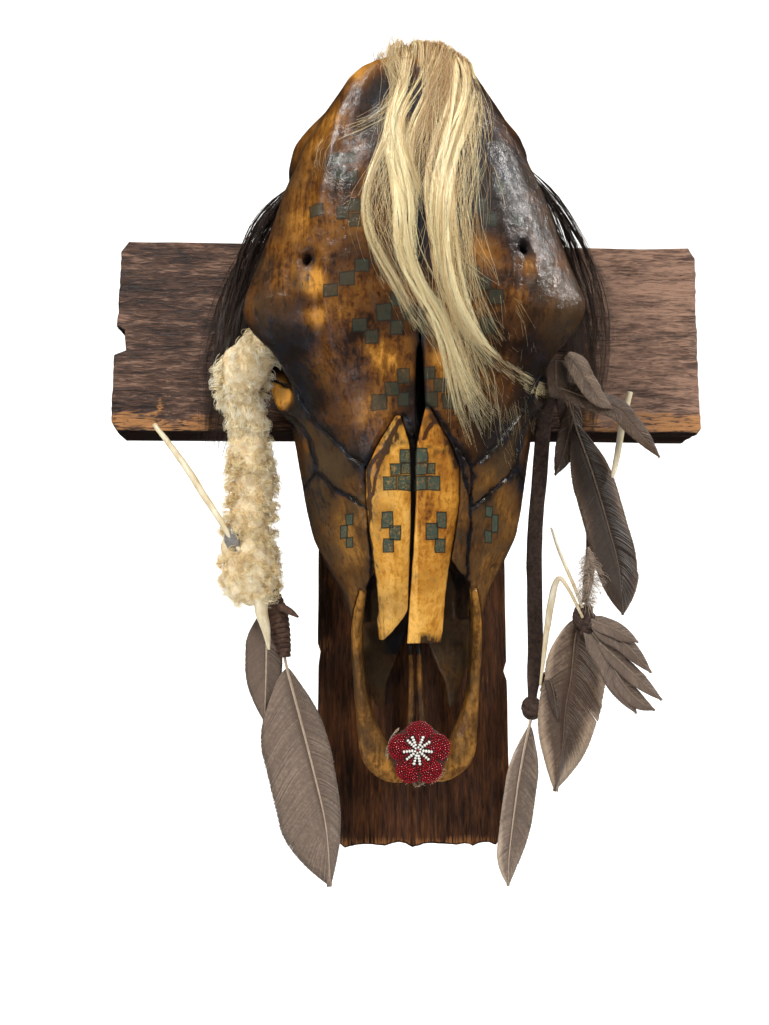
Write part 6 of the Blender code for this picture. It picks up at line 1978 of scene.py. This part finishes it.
def make_feathers():
    made = {}
    for number, (node, (look, *rows)) in enumerate(FEATHERS.items()):
        meshes = []
        for k, (spine, left, right, facing, extra) in enumerate(rows):
            root = (0.05 + 0.08 * number, 0.66 + 0.03 * k)
            seed = 200 + 10 * number + k
            meshes.append(barbs(seed, spine, left, right, facing, root, **extra))
            thick, tint = (2.2, 0.9) if look == "feather" and len(rows) == 1 else (1.5, 0.62)
            meshes.append(shaft_mesh(spine, facing, thick, tint, root))
        made[node] = new_piece(node + "_vanes", joined(node, meshes), look, "feather", node)
    return made


def make_down():
    """Loose down that puffs out of the knot."""
    draw = np.random.default_rng(81)
    fine = resample(DOWN_RIGHT, 60)
    steps, strands = DOWN_STEPS, DOWN_STRANDS
    s = draw.uniform(0, 1, strands)
    read = along_guide(fine, s)
    turn = draw.uniform(-np.pi, np.pi, strands)
    out = np.stack([np.sin(turn), np.cos(turn) * 0.8, draw.uniform(-0.6, 0.5, strands)], axis=1)
    t = np.linspace(0, 1, steps)[None, :, None]
    reach = (read[:, 3] * 0.5 * draw.uniform(0.6, 1.3, strands))[:, None, None]
    lines = read[:, None, :3] + out[:, None] * reach * t ** 0.8
    lines = lines - UP * 5 * t ** 2 * draw.uniform(0.2, 1.6, (strands, 1, 1))
    lines = frizz(lines, 82, 5, 2.2, np.broadcast_to(t[..., 0], (strands, steps)), 0.6)
    taper = np.linspace(1, 0.35, steps)[None]
    sizes = DOWN_WIDTH * draw.uniform(0.6, 1.3, (strands, 1)) * taper * MM
    roots = np.stack([0.1 + 0.1 * s, 0.9 + 0.03 * turn / np.pi], axis=1)
    tint = np.clip(0.75 + 0.2 * draw.standard_normal(strands), 0, 1)
    mesh = tubes("down", places(lines), sizes, sizes, WOOL_FACING, 3, roots, np.repeat(tint, steps))
    return new_piece("down_fibres", mesh, "feather", "down", "down_right")


def make_cords():
    """The two strands of suede that hang free; each one's row names what is tied to it."""
    strap = strap_piece("suede_strap", "strap", STRAP_ROUTE + (STRAP_IN_KNOT,), STRAP_WIDTH, 11)
    thong = strap_piece("suede_thong", "thong_right", THONG_ROUTE, THONG_WIDTH, 12)
    return ((*strap, STRAP_WIDTH, ("strap_knot", "feather_slim", "feather_bottom")),
            (*thong, THONG_WIDTH, ("thong_knot", "down_right", "quill_upper", "quill_lower",
                                   "feather_broad", "feather_split")))


def declare_cords(cords, parts):
    """States the free cords; the feathers and quills tied to them go with them."""
    for cord, line, width, tied in cords:
        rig.cord(cord, line[0], curve_length(line), width * MM, "knot", stiffness="limp",
                lay="hanging", path=line, with_pieces=[parts[name] for name in tied])


FLOOR_LEVEL = -0.62
SWEEP_START = 0.6
SWEEP_RADIUS = 0.8
BACKDROP_TOP = 1.9
BACKDROP_GLOW = 0.75
WORLD_LIGHT = 0.12
# The lamps: name, place, aim, size, power and colour.
LAMPS = (
    ("key", (-0.75, -1.0, 0.75), (0, -0.1, -0.05), (0.24, 0.36), 16.5, (1.0, 0.97, 0.93)),
    ("side", (1.15, -0.38, 0.62), (0.02, -0.15, 0.02), (0.24, 0.34), 12, (1.0, 0.97, 0.94)),
    ("front", (0.55, -1.5, 0.7), (0, 0, -0.1), (0.9, 0.9), 12, (1.0, 0.98, 0.96)),
    ("window", (-0.9, -0.95, -0.5), (0, -0.1, -0.1), (0.2, 0.25), 2.2, (0.75, 0.85, 1.0)),
)


def make_stage():
    """A pale floor that sweeps up into a bright backdrop, and the lamps."""
    floor = [(-2.5, FLOOR_LEVEL), (-0.1, FLOOR_LEVEL)]
    sweep = [(-0.1, FLOOR_LEVEL), (SWEEP_START, FLOOR_LEVEL)]
    sweep += [(SWEEP_START + SWEEP_RADIUS * math.sin(a),
               FLOOR_LEVEL + SWEEP_RADIUS * (1 - math.cos(a)))
              for a in np.linspace(0.1, math.pi / 2, 14)]
    sweep.append((SWEEP_START + SWEEP_RADIUS, BACKDROP_TOP))
    for name, rows, half, glow in (("floor", floor, 3.0, 0.0),
                                   ("backdrop", sweep, 1.7, BACKDROP_GLOW)):
        corners = [(x, y, z) for y, z in rows for x in (-half, half)]
        quads = [(2 * k, 2 * k + 1, 2 * k + 3, 2 * k + 2) for k in range(len(rows) - 1)]
        mesh = new_mesh(name, np.array(corners), np.array(quads))
        stage = placed(name, mesh)
        look = Look(name)
        look.set(Base_Color=(0.80, 0.80, 0.79), Roughness=0.9, Specular_IOR_Level=0.1)
        look.set(Emission_Color=(1.0, 1.0, 0.99), Emission_Strength=glow)
        mesh.materials.append(look.material)
        stage.visible_glossy = False
        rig.stage(stage)
    world = bpy.data.worlds.new("world")
    bpy.context.scene.world = world
    world.use_nodes = True
    background = world.node_tree.nodes["Background"].inputs
    background["Color"].default_value = (1.0, 0.99, 0.97, 1)
    background["Strength"].default_value = WORLD_LIGHT
    world.cycles_visibility.glossy = False
    bpy.context.scene.view_settings.view_transform = "Standard"
    for lamp in LAMPS:
        area_light(*lamp)


def main():
    camera()
    cords = make_cords()
    parts = make_small_parts()
    parts.update(make_feathers())
    parts["down_right"] = make_down()
    declare_cords(cords, parts)
    bones = make_skull()
    make_board("board_crossbar", "board_crossbar_sawn", CROSSBAR_STEP, "crossbar")
    make_board("board_upright", "board_upright_sawn", UPRIGHT_STEP, "upright")
    make_rosette()
    front = Front(bones)
    make_blond_hair(front)
    make_dark_hair(front, -1, HAIR_LEFT_ROUTE, HAIR_TIE_LEFT, "hair_dark_left", 91)
    make_dark_hair(front, 1, HAIR_RIGHT_ROUTE, HAIR_TIE_RIGHT, "hair_dark_right", 95)
    make_fleece()
    make_stage()


main()
with open("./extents.json", "w") as sizes:
    json.dump({"cad": [list(corner) for corner in CAD_BOX],
               "visual": [list(corner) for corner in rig.bounds()]}, sizes)
